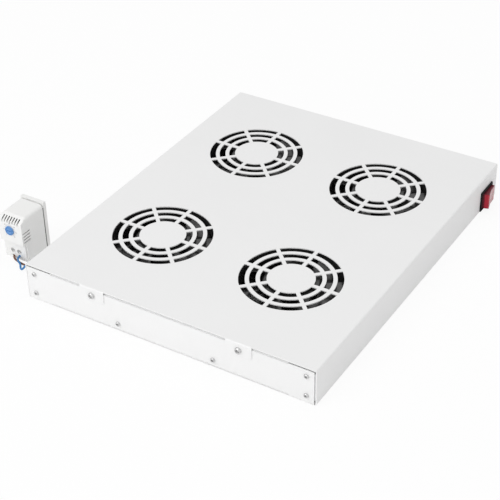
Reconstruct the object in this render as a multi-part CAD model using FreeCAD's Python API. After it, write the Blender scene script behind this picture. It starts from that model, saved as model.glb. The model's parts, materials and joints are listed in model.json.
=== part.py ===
import FreeCAD, Part
import os
from math import asin, cos, pi, radians, sin, tan

# Rack fan tray: a folded sheet-steel tray with four axial fans under punched
# grilles, an illuminated mains switch in the right-hand wall, a mains inlet in
# the rear panel and a room thermostat on two leads.
# Millimetres. +X is to the right seen from the front, +Y to the rear, +Z up.
# The origin is the centre of the four roof-fixing threads, at the underside.

# ---- driving dimensions -------------------------------------------------

# Tray
WIDTH = 364.0
DEPTH = 450.0
HEIGHT = 44.5
SHEET = 1.2
BEND = 2.0
FOOT = 16.0
TAB_X = 92.0
TAB_WIDTH = 31.0
TAB_DROP = 16.0
TAB_CORNER = 3.0
TAB_ROOT = 12.0
PANEL_GAP = 1.5
PANEL_LOW = 0.3
PANEL_HIGH = 42.4
STIFFENER = 9.0
STIFFENER_HALF = 150.0

# Bottom plate
PLATE_Z = 3.7
PLATE_HALF_WIDTH = 164.0
PLATE_WING_END = 220.0
PLATE_LIP_TOP = 16.0
PLATE_LIP_HALF = 120.0
PLATE_OPENING_R = 56.5

# Corner brackets
BRACKET_ARMS = (11.0, 17.0)
BRACKET_LOW = 5.0
BRACKET_HIGH = 34.0

# Screws and nuts
SCREW_X = 170.5
SCREW_HIGH = 34.0
SCREW_LOW = 9.0
BASE_SCREW_X = 60.0
TAB_SCREW_Z = 35.5
ROOF_X = 175.0
ROOF_Y = 160.0
ROOF_THREAD_R = 2.1
ROOF_INSERT_R = 3.5
ROOF_COLLAR = (4.6, 4.3)
M3_R = 1.5
M4_R = 2.0
PANEL_SCREW = (2.8, 2.0, M3_R, 6.0)
TAB_SCREW = (3.8, 2.6, M4_R, 7.0)
FAN_SCREW = (3.6, 2.4, 2.1, 10.0)
INLET_SCREW = (2.7, 1.8, M3_R, 8.0)
PANEL_NUT = (M3_R, 3.2, 2.5)
TAB_NUT = (M4_R, 4.2, 3.0)
INLET_NUT = (M3_R, 3.1, 2.4)
EARTH_NUT = (M4_R, 4.0, 3.2)
HEAD_SIDES = 12
SHANK_SIDES = 8
TUBE_SIDES = 12
MOTOR_SIDES = 28
DUCT_SIDES = 36
HOLE_CLEARANCE = 0.2

# Grille: three rings of slots, cut by eight straight spokes
GRILLE_RINGS = ((26.4, 33.6), (38.1, 45.3), (49.8, 57.0))
GRILLE_SPOKES = 8
SPOKE_WIDTH = 4.4

# Fans
FAN_PITCH_X = 166.0
FAN_PITCH_Y = 204.0
FAN_SIZE = 120.0
FAN_DEEP = 38.0
FAN_HOLE = 52.5
FAN_HOLE_R = 2.1
FAN_FLANGE = 4.5
FAN_SHROUD_R = 59.6
FAN_BORE_R = 57.4
MOTOR_R = 31.0
MOTOR_BASE = 3.5
STRUTS = 4
STRUT_TURN = 30.0
STRUT_SIDES = (6.0, 11.0)
FLANGE_CORNER = 4.0
HUB_R = 31.8
HUB_WALL = 2.0
HUB_LOW = 7.0
HUB_HIGH = 36.0
HUB_CHAMFER = 1.8
ROTOR_WALL = 1.2
SHAFT_LOW = 4.5
TUBE_R = 7.0
TUBE_HIGH = 24.0
BEARING_R = 4.0
BEARING_LONG = 4.0
SHAFT_R = 1.5
SHAFT_PLAY = 0.05
POLES = 4
CORE_LOW = 9.0
CORE_HIGH = 21.0
CORE_HALF = 11.0
POLE_HALF = 4.0
POLE_END = 21.0
POLE_SHOE = ((21, -13), (24, -11), (26, 0), (24, 11), (21, 13))
COIL_SPAN = (12.5, 19.0)
COIL_WALL = 3.0
BLADES = 7
BLADE_CAMBER = 0.11
BLADE_SHARES = (0, 0.25, 0.5, 0.75, 1)
BLADE_STATIONS = ((30.8, 36.0, 47.0, 0.0), (43.0, 43.0, 37.0, 4.0), (55.7, 50.0, 27.0, 9.0))
BLADE_THICK = 1.7

# Switch, in the right-hand wall
SWITCH_Y = 193.5
SWITCH_Z = 15.0
BEZEL_LENGTH = 32.0
BEZEL_HEIGHT = 26.0
BEZEL_PROUD = 2.0
SWITCH_BODY_LENGTH = 30.2
SWITCH_BODY_HEIGHT = 22.2
SWITCH_DEEP = 17.5
ROCKER_HALF = 11.5
ROCKER_HEIGHT = 20.0
ROCKER_TOP = 14.0
ROCKER_DISH = 1.2
ROCKER_TILT = 8.5
ROCKER_PIVOT = 175.4
WELL_HALF = 14.4
WELL_DEEP = 7.0
WELL_PLAY = 0.4
SWITCH_TAG = (8.0, 0.4, 2.4)
SWITCH_TAG_AT = ((-7, -5), (-7, 5), (7, -5), (7, 5))

# Mains inlet, in the rear panel
INLET_X = 140.0
INLET_Z = 22.0
INLET_FLANGE = (50.0, 22.5, 2.5)
INLET_BODY = (27.6, 20.4, 25.0)
INLET_MOUTH = (24.6, 16.6, 17.0)
INLET_SCREW_X = 20.0
INLET_CORNERS = (5.5, 4.5)
PIN_HALF = (1.0, 2.0)
PIN_LONG = 13.5
PINS_AT = ((-7, -0.8), (7, -0.8), (0, 3.2))

# Junction block and earth stud, on the bottom plate (x, y)
BLOCK_AT = (-147.0, -193.0)
EARTH_AT = (100.0, 195.0)
EARTH_HIGH = 12.0
WASHER = (4.5, 0.8)
BLOCK_HALF = (15.0, 9.0)
BLOCK_HIGH = 9.0
RIDGE_HALF = 4.5
RIDGE_HIGH = 15.0
BLOCK_PITCH = 9.5
BLOCK_HOLE_R = 1.6
CLAMP_SCREW = (1.7, 2.2)

# Thermostat, standing to the left of the tray
CASE_RIGHT = -224.0
CASE_WIDTH = 33.0
CASE_FRONT = -178.0
CASE_DEEP = 40.5
CASE_HIGH = 58.5
CASE_ARCH = 4.5
BROW_LOW = 5.5
BROW_DEEP = 9.0
TERMINAL_HIGH = 24.0
TERMINAL_STEP = 6.0
SEAM_WIDTH = 0.6
BACK_DEEP = 5.5
BACK_HIGH = 60.0
VENTS = 9
VENT_PITCH = 2.8
VENT_WIDTH = 1.3
VENT_HIGH = 6.0
SIDE_SLOTS = 6
SIDE_SLOT_PITCH = 3.1
DIAL_X = -241.3
DIAL_Z = 41.0
DIAL_R = 5.8
DIAL_PROUD = 1.6
DIAL_GAP = 0.3
SPINDLE_R = 3.2
SPINDLE_PLAY = 0.1
SPINDLE_LONG = 7.0
TERMINAL_X = (-244.3, -235.3)
TERMINAL_SCREW_Z = 8.6
TERMINAL_SCREW_R = 2.0
LEAD_ENTRY_Z = (3.2, 5.0)
LEAD_ENTRY_DEEP = 5.0
RAIL_LOW = 13.3
RAIL_HEIGHT = 35.0
RAIL_THICK = 1.0
HOOK_HALF = 11.0
HOOK_WALL = 3.0
CLIP_HALF = 6.0
CLIP_THICK = 1.6

# Leads from the thermostat to the grommet in the left-hand wall
LEAD_R = 1.2
GROMMET_Y = -190.0
GROMMET_Z = 22.0
GROMMET_R = 6.5
GROMMET_PROUD = 2.6
GROMMET_NECK_R = 4.5
GROMMET_INNER = 2.0

# ---- derived sizes ------------------------------------------------------

HALF_W = WIDTH / 2
HALF_D = DEPTH / 2
WALL_IN = HALF_W - SHEET
PANEL_OUT = HALF_D - SHEET
PANEL_IN = PANEL_OUT - SHEET
PANEL_HALF = WALL_IN - PANEL_GAP
FAN_Z = PLATE_Z + SHEET
ROTOR_R = HUB_R - HUB_WALL
CASE_LEFT = CASE_RIGHT - CASE_WIDTH
CASE_BACK = CASE_FRONT + CASE_DEEP
TERMINAL_FACE = CASE_FRONT + TERMINAL_STEP
BACK_FACE = CASE_BACK + BACK_DEEP
SIDES = (-1, 1)

V = FreeCAD.Vector


# ---- shape helpers ------------------------------------------------------


def box(low, high):
    """Rectangular block between two opposite corners."""
    size = [b - a for a, b in zip(low, high)]
    return Part.makeBox(*size, V(*low))


def rod(radius, start, run):
    """Cylinder from a start point along a run vector."""
    run = V(*run)
    return Part.makeCylinder(radius, run.Length, V(*start), run)


def prism(points, run):
    """Closed polygon, extruded along a run vector."""
    corners = [V(*point) for point in points]
    return Part.Face(Part.makePolygon(corners + corners[:1])).extrude(V(*run))


def triangle(a, b, c):
    """Flat face on three points."""
    return Part.Face(Part.makePolygon([a, b, c, a]))


def spun(profile):
    """Solid of revolution about Z of a closed (radius, z) profile."""
    corners = [V(radius, 0, z) for radius, z in profile]
    face = Part.Face(Part.makePolygon(corners + corners[:1]))
    return face.revolve(V(0, 0, 0), V(0, 0, 1), 360)


def moved(shape, x=0.0, y=0.0, z=0.0):
    """Copy of a shape, shifted."""
    copy = shape.copy()
    copy.translate(V(x, y, z))
    return copy


def seated(shape, position, outward):
    """Copy of a shape modelled along +Z, set at a position and pointed outward."""
    copy = shape.copy()
    turn = FreeCAD.Rotation(V(0, 0, 1), V(*outward))
    copy.Placement = FreeCAD.Placement(V(*position), turn).multiply(copy.Placement)
    return copy


def joined(shapes):
    """One solid fused from several shapes, with split faces merged."""
    return shapes[0].multiFuse(shapes[1:]).removeSplitter()


def group(shapes):
    """Separate solids kept together as one sub-part."""
    return Part.makeCompound(shapes)


def rounded(shape, radius, wanted):
    """Fillet the edges whose centre passes a test."""
    edges = [edge for edge in shape.Edges if wanted(edge.CenterOfMass, edge)]
    return shape.makeFillet(radius, edges)


def along(edge, axis):
    """True when a straight edge runs along the given axis letter."""
    run = edge.Vertexes[-1].Point - edge.Vertexes[0].Point
    others = [value for name, value in zip("xyz", (run.x, run.y, run.z)) if name != axis]
    return run.Length > 1e-6 and max(abs(value) for value in others) < 1e-6


def path_edges(points, radii):
    """Straight edges through the points, with a tangent arc at each inner point."""
    edges = []
    start = points[0]
    for before, corner, after, radius in zip(points, points[1:], points[2:], radii):
        back = (before - corner).normalize()
        ahead = (after - corner).normalize()
        half_turn = (pi - back.getAngle(ahead)) / 2
        reach = radius * tan(half_turn)
        bisector = (back + ahead).normalize()
        first = corner + back * reach
        middle = corner + bisector * (radius / cos(half_turn) - radius)
        last = corner + ahead * reach
        if (first - start).Length > 1e-6:
            edges.append(Part.makeLine(start, first))
        edges.append(Part.Arc(first, middle, last).toShape())
        start = last
    edges.append(Part.makeLine(start, points[-1]))
    return edges


def folded_sheet(outline, run, bend=BEND, thickness=SHEET):
    """Sheet folded along an outline of its outer side and extruded along its folds."""
    outer = [V(*point) for point in outline]
    run = V(*run)
    fold = V(run).normalize()
    normals = [(b - a).normalize().cross(fold) for a, b in zip(outer, outer[1:])]
    if normals[0].dot(outer[2] - outer[1]) < 0:
        normals = [normal * -1 for normal in normals]
    inner = [outer[0] + normals[0] * thickness]
    for corner, first, second in zip(outer[1:], normals, normals[1:]):
        inner.append(corner + (first + second) * (thickness / (1 + first.dot(second))))
    inner.append(outer[-1] + normals[-1] * thickness)
    folds = len(outer) - 2
    edges = path_edges(outer, [bend] * folds)
    edges += path_edges(inner, [bend - thickness] * folds)
    edges += [Part.makeLine(a, b) for a, b in ((outer[0], inner[0]), (outer[-1], inner[-1]))]
    return Part.Face(Part.Wire(Part.__sortEdges__(edges))).extrude(run)


def polygon(sides, radius, z):
    """Closed regular polygon in a level plane, with its corners at a radius."""
    turns = [2 * pi * index / sides for index in range(sides)]
    corners = [V(radius * cos(turn), radius * sin(turn), z) for turn in turns]
    return Part.makePolygon(corners + corners[:1])


def faceted(sides, radius, height, z=0.0):
    """Upright prism on a regular polygon whose corners lie at a radius."""
    return Part.Face(polygon(sides, radius, z)).extrude(V(0, 0, height))


def screw_hole(radius, start, run):
    """Cutter for a screw's hole: eight-sided like the screw's shank, and a little wider."""
    length = V(*run).Length
    return seated(faceted(SHANK_SIDES, radius + HOLE_CLEARANCE, length), start, run)


def pan_screw(head_r, head_h, shank_r, length):
    """Plain screw: the seat of the head is z = 0 and the shank hangs below."""
    head = faceted(HEAD_SIDES, head_r, head_h)
    return joined([head, faceted(SHANK_SIDES, shank_r, length, -length)])


def hex_nut(thread_r, outer_r, height):
    """Hexagonal press nut standing on z = 0."""
    return faceted(6, outer_r, height).cut(faceted(SHANK_SIDES, thread_r, height))





def fan_centres():
    """Centres of the four fans: front left, front right, rear left, rear right."""
    return [(sx * FAN_PITCH_X / 2, sy * FAN_PITCH_Y / 2) for sy in SIDES for sx in SIDES]


def grille_slots(x, y, low, high):
    """Ring slots of one grille, between its spokes."""
    sector = 2 * pi / GRILLE_SPOKES
    slots = []
    for inner, outer in GRILLE_RINGS:
        ends = {r: asin(SPOKE_WIDTH / 2 / r) for r in (inner, outer)}

        def at(radius, angle):
            return V(x + radius * cos(angle), y + radius * sin(angle), low)

        for index in range(GRILLE_SPOKES):
            a = index * sector
            b = a + sector
            mid = a + sector / 2
            inner_ends = (at(inner, a + ends[inner]), at(inner, b - ends[inner]))
            outer_ends = (at(outer, a + ends[outer]), at(outer, b - ends[outer]))
            edges = [
                Part.Arc(inner_ends[0], at(inner, mid), inner_ends[1]).toShape(),
                Part.makeLine(inner_ends[1], outer_ends[1]),
                Part.Arc(outer_ends[1], at(outer, mid), outer_ends[0]).toShape(),
                Part.makeLine(outer_ends[0], inner_ends[0]),
            ]
            slots.append(Part.Face(Part.Wire(edges)).extrude(V(0, 0, high - low)))
    return slots


# ---- tray ---------------------------------------------------------------


def cover_tab(side_x, side_y):
    """Fixing tab folded down from the top sheet over an end panel."""
    x = side_x * TAB_X - TAB_WIDTH / 2
    outline = [
        (x, side_y * (HALF_D - TAB_ROOT), HEIGHT),
        (x, side_y * HALF_D, HEIGHT),
        (x, side_y * HALF_D, HEIGHT - TAB_DROP),
    ]
    tab = folded_sheet(outline, (TAB_WIDTH, 0, 0))
    low = HEIGHT - TAB_DROP
    return rounded(tab, TAB_CORNER, lambda at, edge: along(edge, "y") and abs(at.z - low) < 0.01)


def top_cover():
    """Top sheet with side walls, feet, end tabs, grilles and cut-outs."""
    outline = [
        (-HALF_W + FOOT, -PANEL_OUT, 0),
        (-HALF_W, -PANEL_OUT, 0),
        (-HALF_W, -PANEL_OUT, HEIGHT),
        (HALF_W, -PANEL_OUT, HEIGHT),
        (HALF_W, -PANEL_OUT, 0),
        (HALF_W - FOOT, -PANEL_OUT, 0),
    ]
    channel = folded_sheet(outline, (0, 2 * PANEL_OUT, 0))
    tabs = [cover_tab(sx, sy) for sx in SIDES for sy in SIDES]
    cover = joined([channel] + tabs)
    cuts = []
    for x, y in fan_centres():
        cuts += grille_slots(x, y, HEIGHT - 2 * SHEET, HEIGHT + SHEET)
    for sx in SIDES:
        for sy in SIDES:
            foot_end = [sx * (WALL_IN - FOOT - 1), sx * WALL_IN]
            y_ends = [sy * (PANEL_IN - SHEET), sy * (HALF_D + 1)]
            cuts.append(box((min(foot_end), min(y_ends), -1), (max(foot_end), max(y_ends), SHEET)))
            cuts.append(screw_hole(M4_R, (sx * TAB_X, sy * (HALF_D - 2), TAB_SCREW_Z), (0, sy * 4, 0)))
            cuts.append(rod(ROOF_INSERT_R, (sx * ROOF_X, sy * ROOF_Y, -1), (0, 0, 3)))
    half = (SWITCH_BODY_LENGTH / 2, SWITCH_BODY_HEIGHT / 2)
    cuts.append(
        box(
            (HALF_W - 3, SWITCH_Y - half[0], SWITCH_Z - half[1]),
            (HALF_W + 1, SWITCH_Y + half[0], SWITCH_Z + half[1]),
        )
    )
    cuts.append(rod(GROMMET_NECK_R, (-HALF_W - 1, GROMMET_Y, GROMMET_Z), (4, 0, 0)))
    return cover.cut(Part.makeCompound(cuts))


def end_panel(side):
    """Panel across one end, stiffened by flanges folded back at top and bottom."""
    outline = [
        (-STIFFENER_HALF, side * (PANEL_OUT - STIFFENER), PANEL_LOW),
        (-STIFFENER_HALF, side * PANEL_OUT, PANEL_LOW),
        (-STIFFENER_HALF, side * PANEL_OUT, PANEL_HIGH),
        (-STIFFENER_HALF, side * (PANEL_OUT - STIFFENER), PANEL_HIGH),
    ]
    middle = folded_sheet(outline, (2 * STIFFENER_HALF, 0, 0))
    y_ends = sorted((side * PANEL_IN, side * PANEL_OUT))
    ends = [
        box(
            (min(sx * STIFFENER_HALF, sx * PANEL_HALF), y_ends[0], PANEL_LOW),
            (max(sx * STIFFENER_HALF, sx * PANEL_HALF), y_ends[1], PANEL_HIGH),
        )
        for sx in SIDES
    ]
    panel = joined([middle] + ends)
    holes = []
    for sx in SIDES:
        for x, z, radius in (
            (SCREW_X, SCREW_HIGH, M3_R),
            (SCREW_X, SCREW_LOW, M3_R),
            (BASE_SCREW_X, SCREW_LOW, M3_R),
            (TAB_X, TAB_SCREW_Z, M4_R),
        ):
            start = (sx * x, side * (PANEL_IN - 1), z)
            holes.append(screw_hole(radius, start, (0, side * 4, 0)))
    if side > 0:
        holes += inlet_cutout()
    return panel.cut(Part.makeCompound(holes))


def inlet_cutout():
    """Opening and screw holes for the mains inlet."""
    half = (INLET_BODY[0] / 2 + 0.3, INLET_BODY[1] / 2 + 0.3)
    opening = box(
        (INLET_X - half[0], PANEL_IN - 1, INLET_Z - half[1]),
        (INLET_X + half[0], PANEL_OUT + 1, INLET_Z + half[1]),
    )
    screws = [
        screw_hole(M3_R, (INLET_X + sx * INLET_SCREW_X, PANEL_IN - 1, INLET_Z), (0, 4, 0))
        for sx in SIDES
    ]
    return [opening] + screws


def bottom_plate():
    """Fan-carrying plate with round openings and lips folded up behind the end panels."""
    outline = [
        (-PLATE_LIP_HALF, -PANEL_IN, PLATE_LIP_TOP),
        (-PLATE_LIP_HALF, -PANEL_IN, PLATE_Z),
        (-PLATE_LIP_HALF, PANEL_IN, PLATE_Z),
        (-PLATE_LIP_HALF, PANEL_IN, PLATE_LIP_TOP),
    ]
    middle = folded_sheet(outline, (2 * PLATE_LIP_HALF, 0, 0))
    wings = box(
        (-PLATE_HALF_WIDTH, -PLATE_WING_END, PLATE_Z),
        (PLATE_HALF_WIDTH, PLATE_WING_END, FAN_Z),
    )
    cuts = []
    for x, y in fan_centres():
        cuts.append(Part.makeCylinder(PLATE_OPENING_R, 3, V(x, y, PLATE_Z - 1)))
        for sx in SIDES:
            for sy in SIDES:
                start = (x + sx * FAN_HOLE, y + sy * FAN_HOLE, PLATE_Z - 1)
                cuts.append(screw_hole(FAN_HOLE_R, start, (0, 0, 3)))
    for sx in SIDES:
        for sy in SIDES:
            start = (sx * BASE_SCREW_X, sy * (PANEL_IN + 1), SCREW_LOW)
            cuts.append(screw_hole(M3_R, start, (0, -sy * 4, 0)))
    return joined([middle, wings]).cut(Part.makeCompound(cuts))


def corner_brackets():
    """Four angle brackets welded inside the side walls, behind the end panels."""
    brackets = []
    for sx in SIDES:
        for sy in SIDES:
            outline = [
                (sx * WALL_IN, sy * (PANEL_IN - BRACKET_ARMS[0]), BRACKET_LOW),
                (sx * WALL_IN, sy * PANEL_IN, BRACKET_LOW),
                (sx * (WALL_IN - BRACKET_ARMS[1]), sy * PANEL_IN, BRACKET_LOW),
            ]
            angle = folded_sheet(outline, (0, 0, BRACKET_HIGH))
            holes = [
                screw_hole(M3_R, (sx * SCREW_X, sy * (PANEL_IN + 1), z), (0, -sy * 4, 0))
                for z in (SCREW_LOW, SCREW_HIGH)
            ]
            brackets.append(angle.cut(Part.makeCompound(holes)))
    return group(brackets)


def panel_screw_places():
    """Positions (x, z) of the small screws in each end panel."""
    corners = [(sx * SCREW_X, z) for sx in SIDES for z in (SCREW_LOW, SCREW_HIGH)]
    return corners + [(sx * BASE_SCREW_X, SCREW_LOW) for sx in SIDES]


def panel_screws():
    """Small screws of both end panels."""
    screw = pan_screw(*PANEL_SCREW)
    return group(
        [
            seated(screw, (x, side * PANEL_OUT, z), (0, side, 0))
            for side in SIDES
            for x, z in panel_screw_places()
        ]
    )


def tab_screws():
    """Larger screws through the four cover tabs."""
    screw = pan_screw(*TAB_SCREW)
    return group(
        [
            seated(screw, (sx * TAB_X, sy * HALF_D, TAB_SCREW_Z), (0, sy, 0))
            for sx in SIDES
            for sy in SIDES
        ]
    )


def press_nuts():
    """Press nuts behind the brackets, the plate lips and the end panels."""
    small = hex_nut(*PANEL_NUT)
    large = hex_nut(*TAB_NUT)
    nuts = []
    for side in SIDES:
        for x, z in panel_screw_places():
            nuts.append(seated(small, (x, side * (PANEL_IN - SHEET), z), (0, -side, 0)))
        for sx in SIDES:
            nuts.append(seated(large, (sx * TAB_X, side * PANEL_IN, TAB_SCREW_Z), (0, -side, 0)))
    return group(nuts)


def roof_nuts():
    """Four threaded inserts in the feet, for the screws that fix the tray to a cabinet."""
    collar = faceted(6, *ROOF_COLLAR, SHEET)
    thread = Part.makeCylinder(ROOF_THREAD_R, SHEET + ROOF_COLLAR[1])
    insert = joined([Part.makeCylinder(ROOF_INSERT_R, SHEET), collar]).cut(thread)
    return group([moved(insert, sx * ROOF_X, sy * ROOF_Y) for sx in SIDES for sy in SIDES])


# ---- fans ---------------------------------------------------------------


def fan_frame():
    """Square-flanged duct with the motor base on four struts at its lower face."""
    half = FAN_SIZE / 2
    flange = box((-half, -half, 0), (half, half, FAN_FLANGE))
    flange = rounded(flange, FLANGE_CORNER, lambda at, edge: along(edge, "z"))
    upper = moved(flange, z=FAN_DEEP - FAN_FLANGE)
    shroud = faceted(DUCT_SIDES, FAN_SHROUD_R, FAN_DEEP)
    duct = joined([flange, upper, shroud])
    bore = faceted(DUCT_SIDES, FAN_BORE_R, FAN_DEEP)
    holes = [
        moved(faceted(SHANK_SIDES, FAN_HOLE_R, FAN_DEEP), sx * FAN_HOLE, sy * FAN_HOLE)
        for sx in SIDES
        for sy in SIDES
    ]
    duct = duct.cut(Part.makeCompound([bore] + holes))
    strut = box((MOTOR_R - 4, STRUT_SIDES[0], 0), (FAN_BORE_R + 0.6, STRUT_SIDES[1], MOTOR_BASE))
    struts = []
    for index in range(STRUTS):
        turned = strut.copy()
        turned.rotate(V(0, 0, 0), V(0, 0, 1), STRUT_TURN + 360 / STRUTS * index)
        struts.append(turned)
    base = faceted(MOTOR_SIDES, MOTOR_R, MOTOR_BASE)
    tube = faceted(TUBE_SIDES, TUBE_R, TUBE_HIGH)
    frame = joined([duct, base, tube] + struts)
    return frame.cut(faceted(TUBE_SIDES, BEARING_R, TUBE_HIGH, MOTOR_BASE))


def fan_bearings():
    """Two sleeve bearings in the motor tube."""
    bore = Part.makeCylinder(SHAFT_R + SHAFT_PLAY, BEARING_LONG)
    ring = faceted(TUBE_SIDES, BEARING_R, BEARING_LONG).cut(bore)
    return group([moved(ring, z=MOTOR_BASE), moved(ring, z=TUBE_HIGH - BEARING_LONG)])


def fan_stator():
    """Four-pole laminated core around the bearing tube."""
    deep = CORE_HIGH - CORE_LOW
    pieces = [box((-CORE_HALF, -CORE_HALF, CORE_LOW), (CORE_HALF, CORE_HALF, CORE_HIGH))]
    for index in range(POLES):
        pole = box((CORE_HALF - 3, -POLE_HALF, CORE_LOW), (POLE_END, POLE_HALF, CORE_HIGH))
        shoe = prism([(x, y, CORE_LOW) for x, y in POLE_SHOE], (0, 0, deep))
        for piece in (pole, shoe):
            piece.rotate(V(0, 0, 0), V(0, 0, 1), 360 / POLES * index)
            pieces.append(piece)
    return joined(pieces).cut(faceted(TUBE_SIDES, TUBE_R, CORE_HIGH))


def fan_coils():
    """Four windings on the poles of the core."""
    wide = POLE_HALF + COIL_WALL
    inner, outer = COIL_SPAN
    coils = []
    for index in range(POLES):
        winding = box((inner, -wide, CORE_LOW - COIL_WALL), (outer, wide, CORE_HIGH + COIL_WALL))
        pole = box((inner - 1, -POLE_HALF, CORE_LOW), (outer + 1, POLE_HALF, CORE_HIGH))
        coil = winding.cut(pole)
        coil.rotate(V(0, 0, 0), V(0, 0, 1), 360 / POLES * index)
        coils.append(coil)
    return group(coils)


def fan_rotor():
    """Steel rotor cup with its shaft."""
    top = HUB_HIGH - HUB_WALL
    low = HUB_LOW + 1
    cup = faceted(MOTOR_SIDES, ROTOR_R, top - low, low)
    hollow = faceted(MOTOR_SIDES, ROTOR_R - ROTOR_WALL, top - ROTOR_WALL - low, low)
    shaft = Part.makeCylinder(SHAFT_R, top - SHAFT_LOW - ROTOR_WALL / 2, V(0, 0, SHAFT_LOW))
    return joined([cup.cut(hollow), shaft])


def blade_section(radius, chord, pitch, sweep):
    """Corners of a cambered blade section, wrapped on a cylinder about the axis."""
    middle_z = (HUB_LOW + HUB_HIGH) / 2
    tilt = radians(pitch)
    lower = []
    upper = []
    for share in BLADE_SHARES:
        bulge = 4 * share * (1 - share)
        along_chord = chord * (share - 0.5)
        for skin, offset in ((lower, 0), (upper, BLADE_THICK * (0.6 + 0.4 * bulge))):
            lift = chord * BLADE_CAMBER * bulge + offset
            turn = (sweep + along_chord * cos(tilt) - lift * sin(tilt)) / radius
            z = middle_z + along_chord * sin(tilt) + lift * cos(tilt)
            skin.append(V(radius * cos(turn), radius * sin(turn), z))
    return lower + upper[::-1]


def blade_solid(sections):
    """Blade of flat facets, skinned over its sections from root to tip."""
    faces = []
    for section in (sections[0], sections[-1]):
        count = len(section)
        for index in range(count // 2 - 1):
            a, b = section[index], section[index + 1]
            c, d = section[count - 2 - index], section[count - 1 - index]
            faces += [triangle(a, b, c), triangle(a, c, d)]
    for inner, outer in zip(sections, sections[1:]):
        for index, point in enumerate(inner):
            after = (index + 1) % len(inner)
            faces.append(triangle(point, inner[after], outer[after]))
            faces.append(triangle(point, outer[after], outer[index]))
    blade = Part.makeSolid(Part.makeShell(faces))
    if blade.Volume < 0:
        blade.reverse()
    return blade


def fan_impeller():
    """Hub shell with twisted blades skinned from root to tip."""
    shoulder = HUB_HIGH - HUB_CHAMFER
    rims = [polygon(MOTOR_SIDES, HUB_R, shoulder), polygon(MOTOR_SIDES, HUB_R - HUB_CHAMFER, HUB_HIGH)]
    drum = faceted(MOTOR_SIDES, HUB_R, shoulder - HUB_LOW, HUB_LOW)
    hollow = faceted(MOTOR_SIDES, ROTOR_R, HUB_HIGH - HUB_WALL - HUB_LOW, HUB_LOW)
    hub = joined([drum, Part.makeLoft(rims, True, True)]).cut(hollow)
    blade = blade_solid([blade_section(*station) for station in BLADE_STATIONS])
    blades = []
    for index in range(BLADES):
        turned = blade.copy()
        turned.rotate(V(0, 0, 0), V(0, 0, 1), 360 / BLADES * index)
        blades.append(turned)
    return hub.multiFuse(blades)


def fan_screws():
    """Thread-forming screws that hold the fans to the bottom plate."""
    screw = pan_screw(*FAN_SCREW)
    places = [
        (x + sx * FAN_HOLE, y + sy * FAN_HOLE, PLATE_Z)
        for x, y in fan_centres()
        for sx in SIDES
        for sy in SIDES
    ]
    return group([seated(screw, place, (0, 0, -1)) for place in places])


# ---- switch, inlet and terminals ---------------------------------------


def switch_housing():
    """Bezel and snap-in body of the rocker switch."""
    face = HALF_W + BEZEL_PROUD
    bezel = box(
        (HALF_W, SWITCH_Y - BEZEL_LENGTH / 2, SWITCH_Z - BEZEL_HEIGHT / 2),
        (face, SWITCH_Y + BEZEL_LENGTH / 2, SWITCH_Z + BEZEL_HEIGHT / 2),
    )
    bezel = rounded(bezel, 1.0, lambda at, edge: at.x > face - 0.01)
    body = box(
        (
            HALF_W - SWITCH_DEEP,
            SWITCH_Y - SWITCH_BODY_LENGTH / 2 + 0.1,
            SWITCH_Z - SWITCH_BODY_HEIGHT / 2 + 0.1,
        ),
        (
            HALF_W,
            SWITCH_Y + SWITCH_BODY_LENGTH / 2 - 0.1,
            SWITCH_Z + SWITCH_BODY_HEIGHT / 2 - 0.1,
        ),
    )
    well = box(
        (ROCKER_PIVOT - WELL_DEEP, SWITCH_Y - WELL_HALF, SWITCH_Z - ROCKER_HEIGHT / 2 - WELL_PLAY),
        (face + 1, SWITCH_Y + WELL_HALF, SWITCH_Z + ROCKER_HEIGHT / 2 + WELL_PLAY),
    )
    return joined([bezel, body]).cut(well)


def switch_rocker():
    """Rocker with its near end up, on trunnions across the well."""
    profile = [
        (ROCKER_HALF, ROCKER_TOP),
        (0.0, ROCKER_TOP - ROCKER_DISH),
        (-ROCKER_HALF, ROCKER_TOP),
        (-13.9, 1.0),
        (-12.0, -1.5),
        (-4.0, -5.0),
        (4.0, -5.0),
        (12.0, -1.5),
        (13.9, 1.0),
    ]
    points = [(v, u, -ROCKER_HEIGHT / 2) for u, v in profile]
    rocker = prism(points, (0, 0, ROCKER_HEIGHT))
    rocker = rounded(rocker, 1.0, lambda at, edge: at.x > ROCKER_TOP - 0.7 and along(edge, "z"))
    rocker.rotate(V(0, 0, 0), V(0, 0, 1), ROCKER_TILT)
    return moved(rocker, ROCKER_PIVOT, SWITCH_Y, SWITCH_Z)


def switch_terminals():
    """Blade terminals at the back of the switch."""
    x = HALF_W - SWITCH_DEEP
    long, thick, wide = SWITCH_TAG
    tags = []
    for dy, dz in SWITCH_TAG_AT:
        y = SWITCH_Y + dy
        z = SWITCH_Z + dz
        tags.append(box((x - long, y - thick, z - wide), (x, y + thick, z + wide)))
    return group(tags)


def inlet_shape(width, height, corner, start, end):
    """Block with two upper corners cut, as an inlet's shroud has."""
    half_w = width / 2
    half_h = height / 2
    points = [
        (-half_w, -half_h),
        (half_w, -half_h),
        (half_w, half_h - corner),
        (half_w - corner, half_h),
        (corner - half_w, half_h),
        (-half_w, half_h - corner),
    ]
    return prism([(INLET_X + x, start, INLET_Z + z) for x, z in points], (0, end - start, 0))


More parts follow.
